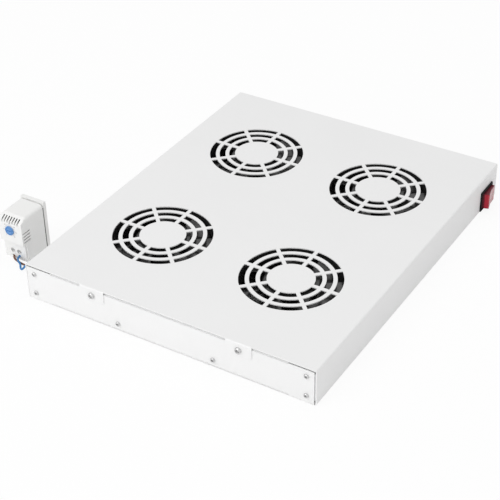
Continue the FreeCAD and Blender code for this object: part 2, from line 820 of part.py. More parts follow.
def inlet_body():
    """Flanged mains inlet with an open mouth."""
    face = PANEL_OUT + INLET_FLANGE[2]
    flange = box(
        (INLET_X - INLET_FLANGE[0] / 2, PANEL_OUT, INLET_Z - INLET_FLANGE[1] / 2),
        (INLET_X + INLET_FLANGE[0] / 2, face, INLET_Z + INLET_FLANGE[1] / 2),
    )
    flange = rounded(flange, 4.0, lambda at, edge: along(edge, "y"))
    body = inlet_shape(*INLET_BODY[:2], INLET_CORNERS[0], PANEL_OUT - INLET_BODY[2], PANEL_OUT)
    mouth = inlet_shape(*INLET_MOUTH[:2], INLET_CORNERS[1], face - INLET_MOUTH[2], face + 1)
    holes = [
        screw_hole(M3_R, (INLET_X + sx * INLET_SCREW_X, PANEL_OUT - 1, INLET_Z), (0, 6, 0))
        for sx in SIDES
    ]
    return joined([flange, body]).cut(Part.makeCompound([mouth] + holes))


def inlet_pins():
    """Three contact blades, standing on the floor of the mouth."""
    back = PANEL_OUT + INLET_FLANGE[2] - INLET_MOUTH[2]
    half_x, half_z = PIN_HALF
    pins = []
    for dx, dz in PINS_AT:
        x = INLET_X + dx
        z = INLET_Z + dz
        pins.append(box((x - half_x, back, z - half_z), (x + half_x, back + PIN_LONG, z + half_z)))
    return group(pins)


def inlet_screws():
    """Two screws with nuts that hold the inlet to the rear panel."""
    screw = pan_screw(*INLET_SCREW)
    face = PANEL_OUT + INLET_FLANGE[2]
    nut = hex_nut(*INLET_NUT)
    parts = []
    for sx in SIDES:
        x = INLET_X + sx * INLET_SCREW_X
        parts.append(seated(screw, (x, face, INLET_Z), (0, 1, 0)))
        parts.append(seated(nut, (x, PANEL_IN, INLET_Z), (0, -1, 0)))
    return group(parts)


def terminal_block():
    """Three-way junction block on the bottom plate."""
    x, y = BLOCK_AT
    half_x, half_y = BLOCK_HALF
    block = box((x - half_x, y - half_y, FAN_Z), (x + half_x, y + half_y, FAN_Z + BLOCK_HIGH))
    ridge = box((x - half_x, y - RIDGE_HALF, FAN_Z), (x + half_x, y + RIDGE_HALF, FAN_Z + RIDGE_HIGH))
    holes = []
    for way in (-1, 0, 1):
        start = (x + BLOCK_PITCH * way, y - half_y - 1, FAN_Z + BLOCK_HIGH / 2)
        holes.append(screw_hole(BLOCK_HOLE_R, start, (0, 2 * half_y + 2, 0)))
    return joined([block, ridge]).cut(Part.makeCompound(holes))


def terminal_block_screws():
    """Clamp screws in the ridge of the junction block."""
    x, y = BLOCK_AT
    screw = faceted(HEAD_SIDES, *CLAMP_SCREW)
    return group([moved(screw, x + BLOCK_PITCH * way, y, FAN_Z + RIDGE_HIGH) for way in (-1, 0, 1)])


def earth_stud():
    """Earth stud with washer and nut on the bottom plate."""
    stud = faceted(SHANK_SIDES, M4_R, EARTH_HIGH)
    washer = faceted(HEAD_SIDES, *WASHER).cut(faceted(SHANK_SIDES, M4_R, WASHER[1]))
    nut = moved(hex_nut(*EARTH_NUT), z=WASHER[1])
    return group([moved(piece, *EARTH_AT, FAN_Z) for piece in (stud, washer, nut)])


# ---- thermostat ---------------------------------------------------------


def thermostat_case():
    """Front shell: arched section, sloped vented brow and stepped terminal foot."""
    case = box((CASE_LEFT, CASE_FRONT, 0), (CASE_RIGHT, CASE_BACK, CASE_HIGH))
    case = rounded(case, CASE_ARCH, lambda at, edge: along(edge, "y") and at.z > CASE_HIGH - 0.1)
    brow = prism(
        [
            (CASE_LEFT - 1, CASE_FRONT - 1, CASE_HIGH - BROW_LOW),
            (CASE_LEFT - 1, CASE_FRONT - 1, CASE_HIGH + 1),
            (CASE_LEFT - 1, CASE_FRONT + BROW_DEEP, CASE_HIGH + 1),
            (CASE_LEFT - 1, CASE_FRONT + BROW_DEEP, CASE_HIGH),
            (CASE_LEFT - 1, CASE_FRONT, CASE_HIGH - BROW_LOW),
        ],
        (CASE_WIDTH + 2, 0, 0),
    )
    step = box(
        (CASE_LEFT - 1, CASE_FRONT - 1, -1),
        (CASE_RIGHT + 1, TERMINAL_FACE, TERMINAL_HIGH),
    )
    cuts = [brow, step]
    middle = (CASE_LEFT + CASE_RIGHT) / 2
    vent_low = CASE_HIGH - BROW_LOW - 1
    for index in range(VENTS):
        x = middle + VENT_PITCH * (index - (VENTS - 1) / 2)
        low = (x - VENT_WIDTH / 2, CASE_FRONT - 1, vent_low)
        cuts.append(box(low, (x + VENT_WIDTH / 2, CASE_FRONT + 5, vent_low + VENT_HIGH)))
    for x in (CASE_LEFT - 1, CASE_RIGHT - 1.5):
        for index in range(SIDE_SLOTS):
            z = TERMINAL_HIGH + 5 + SIDE_SLOT_PITCH * index
            front = CASE_FRONT + 3
            corners = [(x, front, z), (x, front + 8, z + 2), (x, front + 8, z + 3), (x, front, z + 1)]
            cuts.append(prism(corners, (2.5, 0, 0)))
    cuts.append(rod(SPINDLE_R + SPINDLE_PLAY, (DIAL_X, CASE_FRONT - 1, DIAL_Z), (0, SPINDLE_LONG + 2, 0)))
    for x, z in zip(TERMINAL_X, LEAD_ENTRY_Z):
        screw_r = TERMINAL_SCREW_R + 0.3
        cuts.append(rod(screw_r, (x, TERMINAL_FACE - 1, TERMINAL_SCREW_Z + 1), (0, 4, 0)))
        cuts.append(rod(LEAD_R + 0.3, (x, TERMINAL_FACE - 1, z), (0, LEAD_ENTRY_DEEP + 1, 0)))
    return case.cut(Part.makeCompound(cuts))


def thermostat_back():
    """Back plate with a seam groove, and the hook and guide that grip a mounting rail."""
    middle = (CASE_LEFT + CASE_RIGHT) / 2
    plate = box((CASE_LEFT, CASE_BACK + SEAM_WIDTH, 0), (CASE_RIGHT, BACK_FACE, BACK_HIGH))
    neck = box(
        (CASE_LEFT + SEAM_WIDTH, CASE_BACK, 0),
        (CASE_RIGHT - SEAM_WIDTH, CASE_BACK + SEAM_WIDTH, CASE_HIGH - CASE_ARCH),
    )
    low = (middle - HOOK_HALF, BACK_FACE)
    high = (middle + HOOK_HALF, BACK_FACE + 2 * CLIP_THICK + RAIL_THICK)
    rail_top = RAIL_LOW + RAIL_HEIGHT
    hook = box((*low, rail_top - 1.5), (*high, rail_top + HOOK_WALL))
    groove = box(
        (low[0] - 1, BACK_FACE, rail_top - 2),
        (high[0] + 1, BACK_FACE + RAIL_THICK + 0.4, rail_top + 0.2),
    )
    guide = box((*low, 5), (*high, RAIL_LOW - 0.7))
    slot = box(
        (middle - CLIP_HALF - 0.2, BACK_FACE + RAIL_THICK + 0.35, 4),
        (middle + CLIP_HALF + 0.2, BACK_FACE + RAIL_THICK + CLIP_THICK + 0.45, RAIL_LOW),
    )
    return joined([plate, neck, hook.cut(groove), guide.cut(slot)])


def thermostat_clip():
    """Sliding foot that locks the thermostat on its rail."""
    middle = (CASE_LEFT + CASE_RIGHT) / 2
    start = BACK_FACE + RAIL_THICK + 0.4
    blade = box((middle - CLIP_HALF, start, 0.5), (middle + CLIP_HALF, start + CLIP_THICK, RAIL_LOW + 1.2))
    return blade.cut(box((middle - 2, start - 1, 1.5), (middle + 2, start + CLIP_THICK + 1, 3.7)))


def thermostat_dial():
    """Setting knob with a screwdriver slot, on its spindle."""
    knob = spun(
        [
            (0, 0),
            (DIAL_R, 0),
            (DIAL_R, DIAL_PROUD - 0.5),
            (DIAL_R - 0.5, DIAL_PROUD),
            (0, DIAL_PROUD),
        ]
    )
    slot = box((1 - DIAL_R, -0.6, DIAL_PROUD - 0.8), (DIAL_R - 1, 0.6, DIAL_PROUD + 1))
    spindle = Part.makeCylinder(SPINDLE_R, SPINDLE_LONG, V(0, 0, -SPINDLE_LONG))
    knob = joined([knob, spindle]).cut(slot)
    return seated(knob, (DIAL_X, CASE_FRONT - DIAL_GAP, DIAL_Z), (0, -1, 0))


def thermostat_screws():
    """Clamp screws of the two lead terminals."""
    screw = Part.makeCylinder(TERMINAL_SCREW_R, 1.6).cut(box((-3, -0.35, 0.9), (3, 0.35, 2)))
    places = [(x, TERMINAL_FACE + 3, TERMINAL_SCREW_Z + 1) for x in TERMINAL_X]
    return group([seated(screw, place, (0, -1, 0)) for place in places])


# ---- leads --------------------------------------------------------------

BROWN_ROUTE = [
    (-244.3, -167.0, 3.2),
    (-244.3, -173.9, 3.2),
    (-239.5, -178.7, 2.6),
    (-231.0, -180.2, 1.4),
    (-222.0, -181.5, 1.3),
    (-213.5, -182.8, 4.5),
    (-206.0, -184.4, 11.5),
    (-199.0, -186.6, 18.8),
    (-191.5, -188.0, 22.0),
    (-184.6, -188.0, 22.0),
]
BLUE_ROUTE = [
    (-235.3, -167.0, 5.0),
    (-235.3, -180.6, 5.0),
    (-230.6, -186.6, 4.2),
    (-222.4, -189.6, 1.6),
    (-214.0, -189.4, 5.0),
    (-207.0, -189.6, 12.4),
    (-200.0, -191.0, 19.4),
    (-192.0, -192.0, 22.0),
    (-184.6, -192.0, 22.0),
]


def lead(name, route):
    """Insulated lead: straight runs joined by arcs as large as the runs allow."""
    points = [V(*point) for point in route]
    radii = []
    for before, corner, after in zip(points, points[1:], points[2:]):
        shorter = min((before - corner).Length, (after - corner).Length)
        half_turn = (pi - (before - corner).getAngle(after - corner)) / 2
        radii.append(0.45 * shorter / tan(half_turn))
    wire = Part.Wire(path_edges(points, radii))
    ring = Part.Wire(Part.makeCircle(LEAD_R, points[0], points[1] - points[0]))
    tube = wire.makePipeShell([ring], True, False)
    expected = pi * LEAD_R**2 * wire.Length
    print(name, "length", round(wire.Length, 1), "volume ratio", round(tube.Volume / expected, 4))
    print(name, "radii", [round(radius, 1) for radius in radii])
    return tube


def lead_grommet():
    """Rubber grommet in the left-hand wall, where the leads enter."""
    grommet = spun(
        [
            (0, 0),
            (GROMMET_R, 0),
            (GROMMET_R, GROMMET_PROUD - 0.8),
            (GROMMET_R - 0.8, GROMMET_PROUD),
            (0, GROMMET_PROUD),
        ]
    )
    neck = Part.makeCylinder(GROMMET_NECK_R, SHEET, V(0, 0, -SHEET))
    inner = Part.makeCylinder(GROMMET_R, GROMMET_INNER, V(0, 0, -SHEET - GROMMET_INNER))
    return seated(joined([grommet, neck, inner]), (-HALF_W, GROMMET_Y, GROMMET_Z), (-1, 0, 0))


# ---- build --------------------------------------------------------------


def build():
    """All sub-parts by node name."""
    parts = {
        "top_cover": top_cover(),
        "front_panel": end_panel(-1),
        "rear_panel": end_panel(1),
        "bottom_plate": bottom_plate(),
        "corner_brackets": corner_brackets(),
        "panel_screws": panel_screws(),
        "tab_screws": tab_screws(),
        "press_nuts": press_nuts(),
        "roof_nuts": roof_nuts(),
        "fan_screws": fan_screws(),
        "switch_housing": switch_housing(),
        "switch_rocker": switch_rocker(),
        "switch_terminals": switch_terminals(),
        "inlet_body": inlet_body(),
        "inlet_pins": inlet_pins(),
        "inlet_screws": inlet_screws(),
        "terminal_block": terminal_block(),
        "terminal_block_screws": terminal_block_screws(),
        "earth_stud": earth_stud(),
        "thermostat_case": thermostat_case(),
        "thermostat_back": thermostat_back(),
        "thermostat_clip": thermostat_clip(),
        "thermostat_dial": thermostat_dial(),
        "thermostat_screws": thermostat_screws(),
        "lead_brown": lead("lead_brown", BROWN_ROUTE),
        "lead_blue": lead("lead_blue", BLUE_ROUTE),
        "lead_grommet": lead_grommet(),
    }
    fan = {
        "frame": fan_frame(),
        "bearings": fan_bearings(),
        "stator": fan_stator(),
        "coils": fan_coils(),
        "rotor": fan_rotor(),
        "impeller": fan_impeller(),
    }
    for number, (x, y) in enumerate(fan_centres(), start=1):
        for piece, shape in fan.items():
            parts[f"fan_{number}_{piece}"] = moved(shape, x, y, FAN_Z)
    return parts


def main():
    os.makedirs("parts", exist_ok=True)
    for node, shape in build().items():
        if not shape.isValid():
            print("invalid shape:", node)
        shape.exportStep(f"parts/{node}.step")


main()
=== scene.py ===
"""Looks of the rack fan tray: finishes for the solid parts, and the fine pieces on top of them."""

import json
import logging
from abc import ABC, abstractmethod
from collections.abc import Callable, Iterable, Sequence
from dataclasses import dataclass
from enum import Enum
from math import cos, hypot, pi, radians, sin
from typing import Any, Union

import bmesh
import bpy
from mathutils import Matrix, Vector


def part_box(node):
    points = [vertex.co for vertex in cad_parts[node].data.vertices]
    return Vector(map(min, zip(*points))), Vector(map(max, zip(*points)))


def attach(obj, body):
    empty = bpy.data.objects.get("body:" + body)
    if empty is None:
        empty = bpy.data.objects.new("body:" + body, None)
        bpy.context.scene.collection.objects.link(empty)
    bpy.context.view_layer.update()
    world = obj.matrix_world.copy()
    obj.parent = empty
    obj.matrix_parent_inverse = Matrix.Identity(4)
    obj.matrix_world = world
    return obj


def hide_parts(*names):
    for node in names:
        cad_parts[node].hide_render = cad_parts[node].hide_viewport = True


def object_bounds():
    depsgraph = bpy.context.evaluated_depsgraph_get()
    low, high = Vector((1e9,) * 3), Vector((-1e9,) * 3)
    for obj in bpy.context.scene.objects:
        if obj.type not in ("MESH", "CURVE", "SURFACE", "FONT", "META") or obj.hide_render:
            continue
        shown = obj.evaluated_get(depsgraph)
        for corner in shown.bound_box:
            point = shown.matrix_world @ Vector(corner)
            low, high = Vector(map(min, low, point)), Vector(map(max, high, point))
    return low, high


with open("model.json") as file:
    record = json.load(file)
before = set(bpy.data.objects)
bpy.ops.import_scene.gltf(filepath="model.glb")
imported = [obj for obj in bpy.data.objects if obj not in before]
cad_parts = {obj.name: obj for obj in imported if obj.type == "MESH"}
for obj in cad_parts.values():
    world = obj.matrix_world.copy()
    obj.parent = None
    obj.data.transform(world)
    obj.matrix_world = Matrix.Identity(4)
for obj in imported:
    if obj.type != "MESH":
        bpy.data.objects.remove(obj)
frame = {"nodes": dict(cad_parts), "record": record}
CAD_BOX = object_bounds()

logging.basicConfig(level=logging.INFO, format="%(name)s: %(message)s")
LOG = logging.getLogger("fan_tray")

MM = 0.001
FULL_TURN = 2 * pi
SIDES = (-1, 1)
SAME_PLACE = 1e-6
FAN_NUMBERS = range(1, 5)

Colour = tuple[float, float, float]
Point = tuple[float, float, float]
Profile = Sequence[tuple[float, float]]


class Body(Enum):
    """Bodies of the frame that pieces ride on."""

    TRAY = "tray"
    ROCKER = "rocker"
    DIAL = "dial"


# ---- shader building ------------------------------------------------------


class Signal:
    """A shader socket that takes part in Python arithmetic."""

    def __init__(self, tree: bpy.types.NodeTree, socket: bpy.types.NodeSocket) -> None:
        """Wraps a socket.

        Args:
            tree: The node tree that the socket is in.
            socket: An output socket.
        """
        self.tree = tree
        self.socket = socket

    def _math(self, operation: str, first: "Value", second: "Value") -> "Signal":
        """Adds a Math node.

        Args:
            operation: The node's operation.
            first: The first term.
            second: The second term.

        Returns:
            The node's result.
        """
        node = self.tree.nodes.new("ShaderNodeMath")
        node.operation = operation
        for slot, value in zip(node.inputs, (first, second)):
            connect(self.tree, value, slot)
        return Signal(self.tree, node.outputs[0])

    def __add__(self, other: "Value") -> "Signal":
        """Sum."""
        return self._math("ADD", self, other)

    def __radd__(self, other: "Value") -> "Signal":
        """Sum with a number on the left."""
        return self._math("ADD", other, self)

    def __sub__(self, other: "Value") -> "Signal":
        """Difference."""
        return self._math("SUBTRACT", self, other)

    def __rsub__(self, other: "Value") -> "Signal":
        """Difference from a number on the left."""
        return self._math("SUBTRACT", other, self)

    def __mul__(self, other: "Value") -> "Signal":
        """Product."""
        return self._math("MULTIPLY", self, other)

    def __rmul__(self, other: "Value") -> "Signal":
        """Product with a number on the left."""
        return self._math("MULTIPLY", other, self)

    def __lt__(self, other: "Value") -> "Signal":
        """1 where this is the lesser, and 0 elsewhere."""
        return self._math("LESS_THAN", self, other)

    def __abs__(self) -> "Signal":
        """Size without its sign."""
        return self._math("ABSOLUTE", self, 0.0)


Value = Union[float, int, Sequence[float], Signal]


def connect(tree: bpy.types.NodeTree, value: Value, slot: bpy.types.NodeSocket) -> None:
    """Sets a socket to a number or colour, or links a signal to it.

    Args:
        tree: The node tree.
        value: A number, a colour, a vector or a signal.
        slot: The input socket.
    """
    if isinstance(value, Signal):
        tree.links.new(value.socket, slot)
    elif slot.type == "RGBA" and len(value) == 3:
        slot.default_value = (*value, 1.0)
    else:
        slot.default_value = value


class Recipe:
    """Node tree of one material, round a Principled shader."""

    def __init__(self, name: str) -> None:
        """Starts a material.

        Args:
            name: The material's name.
        """
        self.material = bpy.data.materials.new(name)
        self.material.use_nodes = True
        self.tree = self.material.node_tree
        self.tree.nodes.clear()
        self.shader = self.node("ShaderNodeBsdfPrincipled")
        self.place = self.node("ShaderNodeTexCoord", output="Object")
        surface = {"Surface": self.shader}
        self.output = self.node("ShaderNodeOutputMaterial", sockets=surface, output=None)

    def node(
        self,
        kind: str,
        settings: dict[str, Any] | None = None,
        sockets: dict[str | int, Value] | None = None,
        output: str | int | None = 0,
    ) -> Signal | bpy.types.Node:
        """Adds a node of any kind.

        Args:
            kind: The node's type.
            settings: Its settings, with a ramp's stops as (position, colour) pairs under "stops".
            sockets: Values or signals by input name or number.
            output: The output to return, or None for the node itself.

        Returns:
            The chosen output, or the node.
        """
        made = self.tree.nodes.new(kind)
        for key, setting in (settings or {}).items():
            if key == "stops":
                self._set_stops(made.color_ramp.elements, setting)
            else:
                setattr(made, key, setting)
        for key, value in (sockets or {}).items():
            connect(self.tree, value, made.inputs[key])
        return made if output is None else Signal(self.tree, made.outputs[output])

    def _set_stops(self, elements: Any, stops: Sequence[tuple[float, Colour]]) -> None:
        """Gives a colour ramp its stops.

        Args:
            elements: The ramp's elements.
            stops: Positions and colours, in order.
        """
        while len(elements) < len(stops):
            elements.new(1.0)
        for element, (position, colour) in zip(elements, stops):
            element.position = position
            element.color = (*colour, 1.0)

    def set(self, **sockets: Value) -> None:
        """Feeds inputs of the Principled shader, named with _ for each space."""
        for key, value in sockets.items():
            connect(self.tree, value, self.shader.socket.node.inputs[key.replace("_", " ")])

    def noise(self, per_metre: float, detail: float = 2.0, stretch: Point = (1, 1, 1)) -> Signal:
        """Noise from 0 to 1 on the object's own coordinates.

        Args:
            per_metre: Grains in a metre.
            detail: Finer octaves.
            stretch: Scale along each axis.

        Returns:
            The noise.
        """
        place = self.node("ShaderNodeMapping", sockets={"Vector": self.place, "Scale": stretch})
        return self.node(
            "ShaderNodeTexNoise",
            sockets={"Vector": place, "Scale": per_metre, "Detail": detail},
            output="Fac",
        )

    def vary(self, dark: Colour, light: Colour, amount: Signal) -> Signal:
        """Colour between two, by a signal from 0 to 1.

        Args:
            dark: Colour at 0.
            light: Colour at 1.
            amount: The signal.

        Returns:
            The colour.
        """
        return self.node(
            "ShaderNodeMix", {"data_type": "RGBA"}, {"Factor": amount, 6: dark, 7: light}, output=2
        )

    def bump(self, height: Signal, depth: float, strength: float = 1.0) -> None:
        """Feeds the shader's normal from a height.

        Args:
            height: Height from 0 to 1.
            depth: Height in metres that 1 stands for.
            strength: Share of the bump that shows.
        """
        normal = self.node(
            "ShaderNodeBump", sockets={"Height": height, "Distance": depth, "Strength": strength}
        )
        self.set(Normal=normal)


# ---- finishes -------------------------------------------------------------


class Finish(ABC):
    """A surface finish that makes its own material."""

    name: str

    @abstractmethod
    def build(self) -> bpy.types.Material:
        """Makes the material."""


def tinted(colour: Colour, factor: float) -> Colour:
    """Colour made lighter or darker.

    Args:
        colour: The colour.
        factor: Multiplier.

    Returns:
        The new colour, at most white.
    """
    return tuple(min(1.0, channel * factor) for channel in colour)


def clouded(recipe: Recipe, colour: Colour, spread: float, amount: Signal) -> Signal:
    """Colour that varies a little to both sides of its mean.

    Args:
        recipe: Recipe that takes the nodes.
        colour: The mean colour.
        spread: Share of the colour by which it varies.
        amount: Pattern that it follows.

    Returns:
        The varied colour.
    """
    return recipe.vary(tinted(colour, 1 - spread), tinted(colour, 1 + spread), amount)


@dataclass(frozen=True)
class PowderCoat(Finish):
    """Powder coat: a fine orange-peel skin with faint cloudiness."""

    name: str
    colour: Colour
    roughness: float = 0.42
    peel_per_metre: float = 900.0
    peel_depth: float = 0.02 * MM
    cloud_per_metre: float = 14.0
    spread: float = 0.015

    def build(self) -> bpy.types.Material:
        """Makes the material."""
        recipe = Recipe(self.name)
        clouds = recipe.noise(self.cloud_per_metre, 3.0)
        peel = recipe.noise(self.peel_per_metre, 2.0)
        colour = clouded(recipe, self.colour, self.spread, clouds)
        recipe.set(Base_Color=colour, Roughness=self.roughness - 0.05 + 0.1 * peel)
        recipe.bump(peel, self.peel_depth, 0.5)
        return recipe.material


@dataclass(frozen=True)
class Plastic(Finish):
    """Moulded plastic with a spark-eroded grain."""

    name: str
    colour: Colour
    roughness: float = 0.45
    grain_per_metre: float = 2600.0
    grain_depth: float = 0.012 * MM
    spread: float = 0.03
    coat: float = 0.0
    shine: float = 0.5
    patch_per_metre: float = 60.0

    def build(self) -> bpy.types.Material:
        """Makes the material."""
        recipe = Recipe(self.name)
        grain = recipe.noise(self.grain_per_metre, 2.0)
        patches = recipe.noise(self.patch_per_metre, 2.0)
        colour = clouded(recipe, self.colour, self.spread, patches)
        recipe.set(Base_Color=colour, Roughness=self.roughness - 0.04 + 0.08 * grain)
        recipe.set(Coat_Weight=self.coat, Coat_Roughness=0.06, Specular_IOR_Level=self.shine)
        recipe.bump(grain, self.grain_depth, 0.4)
        return recipe.material


@dataclass(frozen=True)
class Metal(Finish):
    """Bare or plated metal with drawn or rolled lines."""

    name: str
    colour: Colour
    roughness: float = 0.3
    line_per_metre: float = 900.0
    stretch: Point = (1.0, 1.0, 1.0)
    line_depth: float = 0.004 * MM
    stain_per_metre: float = 120.0

    def build(self) -> bpy.types.Material:
        """Makes the material."""
        recipe = Recipe(self.name)
        lines = recipe.noise(self.line_per_metre, 3.0, self.stretch)
        stains = recipe.noise(self.stain_per_metre, 3.0)
        recipe.set(
            Base_Color=recipe.vary(tinted(self.colour, 0.88), tinted(self.colour, 1.06), stains),
            Metallic=1.0,
            Roughness=self.roughness - 0.06 + 0.12 * lines,
        )
        recipe.bump(lines, self.line_depth, 0.5)
        return recipe.material


@dataclass(frozen=True)
class Laminations(Finish):
    """Stacked steel sheets seen on edge."""

    name: str
    colour: Colour
    sheet: float = 0.5 * MM
    axis: str = "Z"
    waves_per_sheet: float = 0.314

    def build(self) -> bpy.types.Material:
        """Makes the material."""
        recipe = Recipe(self.name)
        bands = recipe.node(
            "ShaderNodeTexWave",
            {"bands_direction": self.axis},
            {"Vector": recipe.place, "Scale": self.waves_per_sheet / self.sheet, "Distortion": 0.3},
            output="Fac",
        )
        recipe.set(
            Base_Color=recipe.vary(tinted(self.colour, 0.6), self.colour, bands),
            Metallic=0.9,
            Roughness=0.35 + 0.15 * bands,
        )
        recipe.bump(bands, 0.05 * MM, 0.6)
        return recipe.material


@dataclass(frozen=True)
class RockerPlastic(Finish):
    """Translucent red plastic with painted shade: darker where it meets the housing and along its long
    sides.
    """

    name: str
    # deep is the painted shade colour, mixed in near the housing and along the long sides.
    colour: Colour
    deep: Colour
    pivot: tuple[float, float] = (175.4 * MM, 193.5 * MM)
    tilt: float = radians(8.5)
    face: float = 12.3 * MM
    # skirt_x, side_z and fade bound the painted shade.
    skirt_x: float = 186.0 * MM
    side_z: tuple[float, float] = (6.0 * MM, 24.0 * MM)
    fade: float = 1.2 * MM
    edge_gain: float = 3.0

    def build(self) -> bpy.types.Material:
        """Makes the material."""
        recipe = Recipe(self.name)
        split = recipe.node("ShaderNodeSeparateXYZ", sockets={0: recipe.place}, output=None)
        x = Signal(recipe.tree, split.outputs["X"])
        y = Signal(recipe.tree, split.outputs["Y"])
        z = Signal(recipe.tree, split.outputs["Z"])
        height = (x - self.pivot[0]) * cos(self.tilt) + (y - self.pivot[1]) * sin(self.tilt)
        outer = self._past(recipe, (height - self.face) * self.edge_gain)
        skirt = self._past(recipe, self.skirt_x - x)
        under = self._past(recipe, self.side_z[0] - z)
        over = self._past(recipe, z - self.side_z[1])
        cloud = recipe.noise(400.0, 2.0)
        # Painted shade: the colour turns to deep near the housing and along the top and bottom sides.
        dark = recipe.node("ShaderNodeClamp", sockets={"Value": skirt + under + over + 0.08 * cloud})
        recipe.set(Base_Color=recipe.vary(self.colour, self.deep, dark), Roughness=0.42 - 0.26 * outer)
        recipe.set(Coat_Weight=0.9 * outer, Coat_Roughness=0.05, Specular_IOR_Level=0.25)
        recipe.bump(recipe.noise(900.0, 1.0), 0.004 * MM, 0.4)
        return recipe.material

    def _past(self, recipe: Recipe, distance: Signal) -> Signal:
        """Share from 0 to 1 of a fade that starts where a distance passes zero."""
        return recipe.node("ShaderNodeClamp", sockets={"Value": distance * (1 / self.fade)})


@dataclass(frozen=True)
class Palette:
    """Every finish of the tray."""

    coat: Finish = PowderCoat("powder_coat", (0.85, 0.85, 0.85))
    zinc: Finish = Metal("zinc_plate", (0.66, 0.67, 0.68), 0.34, 300.0)
    bright: Finish = Metal("bright_screw", (0.62, 0.62, 0.62), 0.22, 1500.0)
    switch_black: Finish = Plastic("switch_black", (0.006, 0.005, 0.005), 0.6, shine=0.2)
    # The rocker's second colour is its painted shade.
    rocker_red: Finish = RockerPlastic("rocker_red", (0.46, 0.02, 0.04), (0.10, 0.004, 0.012))
    tin: Finish = Metal("tin_brass", (0.72, 0.70, 0.62), 0.28, 700.0)
    inlet_black: Finish = Plastic("inlet_black", (0.02, 0.02, 0.02), 0.48)
    block: Finish = Plastic("block_plastic", (0.72, 0.70, 0.63), 0.4)
    thermostat: Finish = Plastic("thermostat_grey", (0.85, 0.85, 0.84), 0.5, 1900.0, 0.02 * MM, 0.01)
    clip: Finish = Plastic("clip_plastic", (0.25, 0.25, 0.26), 0.42)
    dial: Finish = Plastic("dial_blue", (0.11, 0.29, 0.62), 0.34, coat=0.2)
    brown: Finish = Plastic("brown_insulation", (0.16, 0.055, 0.022), 0.36, grain_depth=0.004 * MM)
    blue: Finish = Plastic("blue_insulation", (0.035, 0.19, 0.45), 0.36, grain_depth=0.004 * MM)
    rubber: Finish = Plastic("grommet_rubber", (0.022, 0.022, 0.022), 0.7)
    fan_frame: Finish = PowderCoat("fan_black", (0.012, 0.012, 0.012), 0.45, 1200.0, spread=0.1)
    impeller: Finish = Plastic(
        "impeller_black", (0.014, 0.014, 0.014), 0.28, grain_depth=0.004 * MM, coat=0.25
    )
    bronze: Finish = Metal("sintered_bronze", (0.46, 0.34, 0.19), 0.5, 2500.0)
    core: Finish = Laminations("core_steel", (0.36, 0.36, 0.37))
    copper: Finish = Laminations("winding_copper", (0.62, 0.25, 0.10), 0.45 * MM)

    def materials(self) -> dict[str, bpy.types.Material]:
        """Builds every material, by the name of its finish."""
        finishes = [getattr(self, key) for key in self.__dataclass_fields__]
        return {finish.name: finish.build() for finish in finishes}


MATERIALS = Palette().materials()


def dress_solids() -> None:
    """Gives every solid of the frame the finish of its material slot."""
    for part in frame["record"]["subparts"]:
        solid = frame["nodes"][part["node"]]
        for slot in solid.material_slots:
            slot.material = MATERIALS[part["material_slot"]]
        if not solid.material_slots:
            solid.data.materials.append(MATERIALS[part["material_slot"]])


# ---- modelling ------------------------------------------------------------


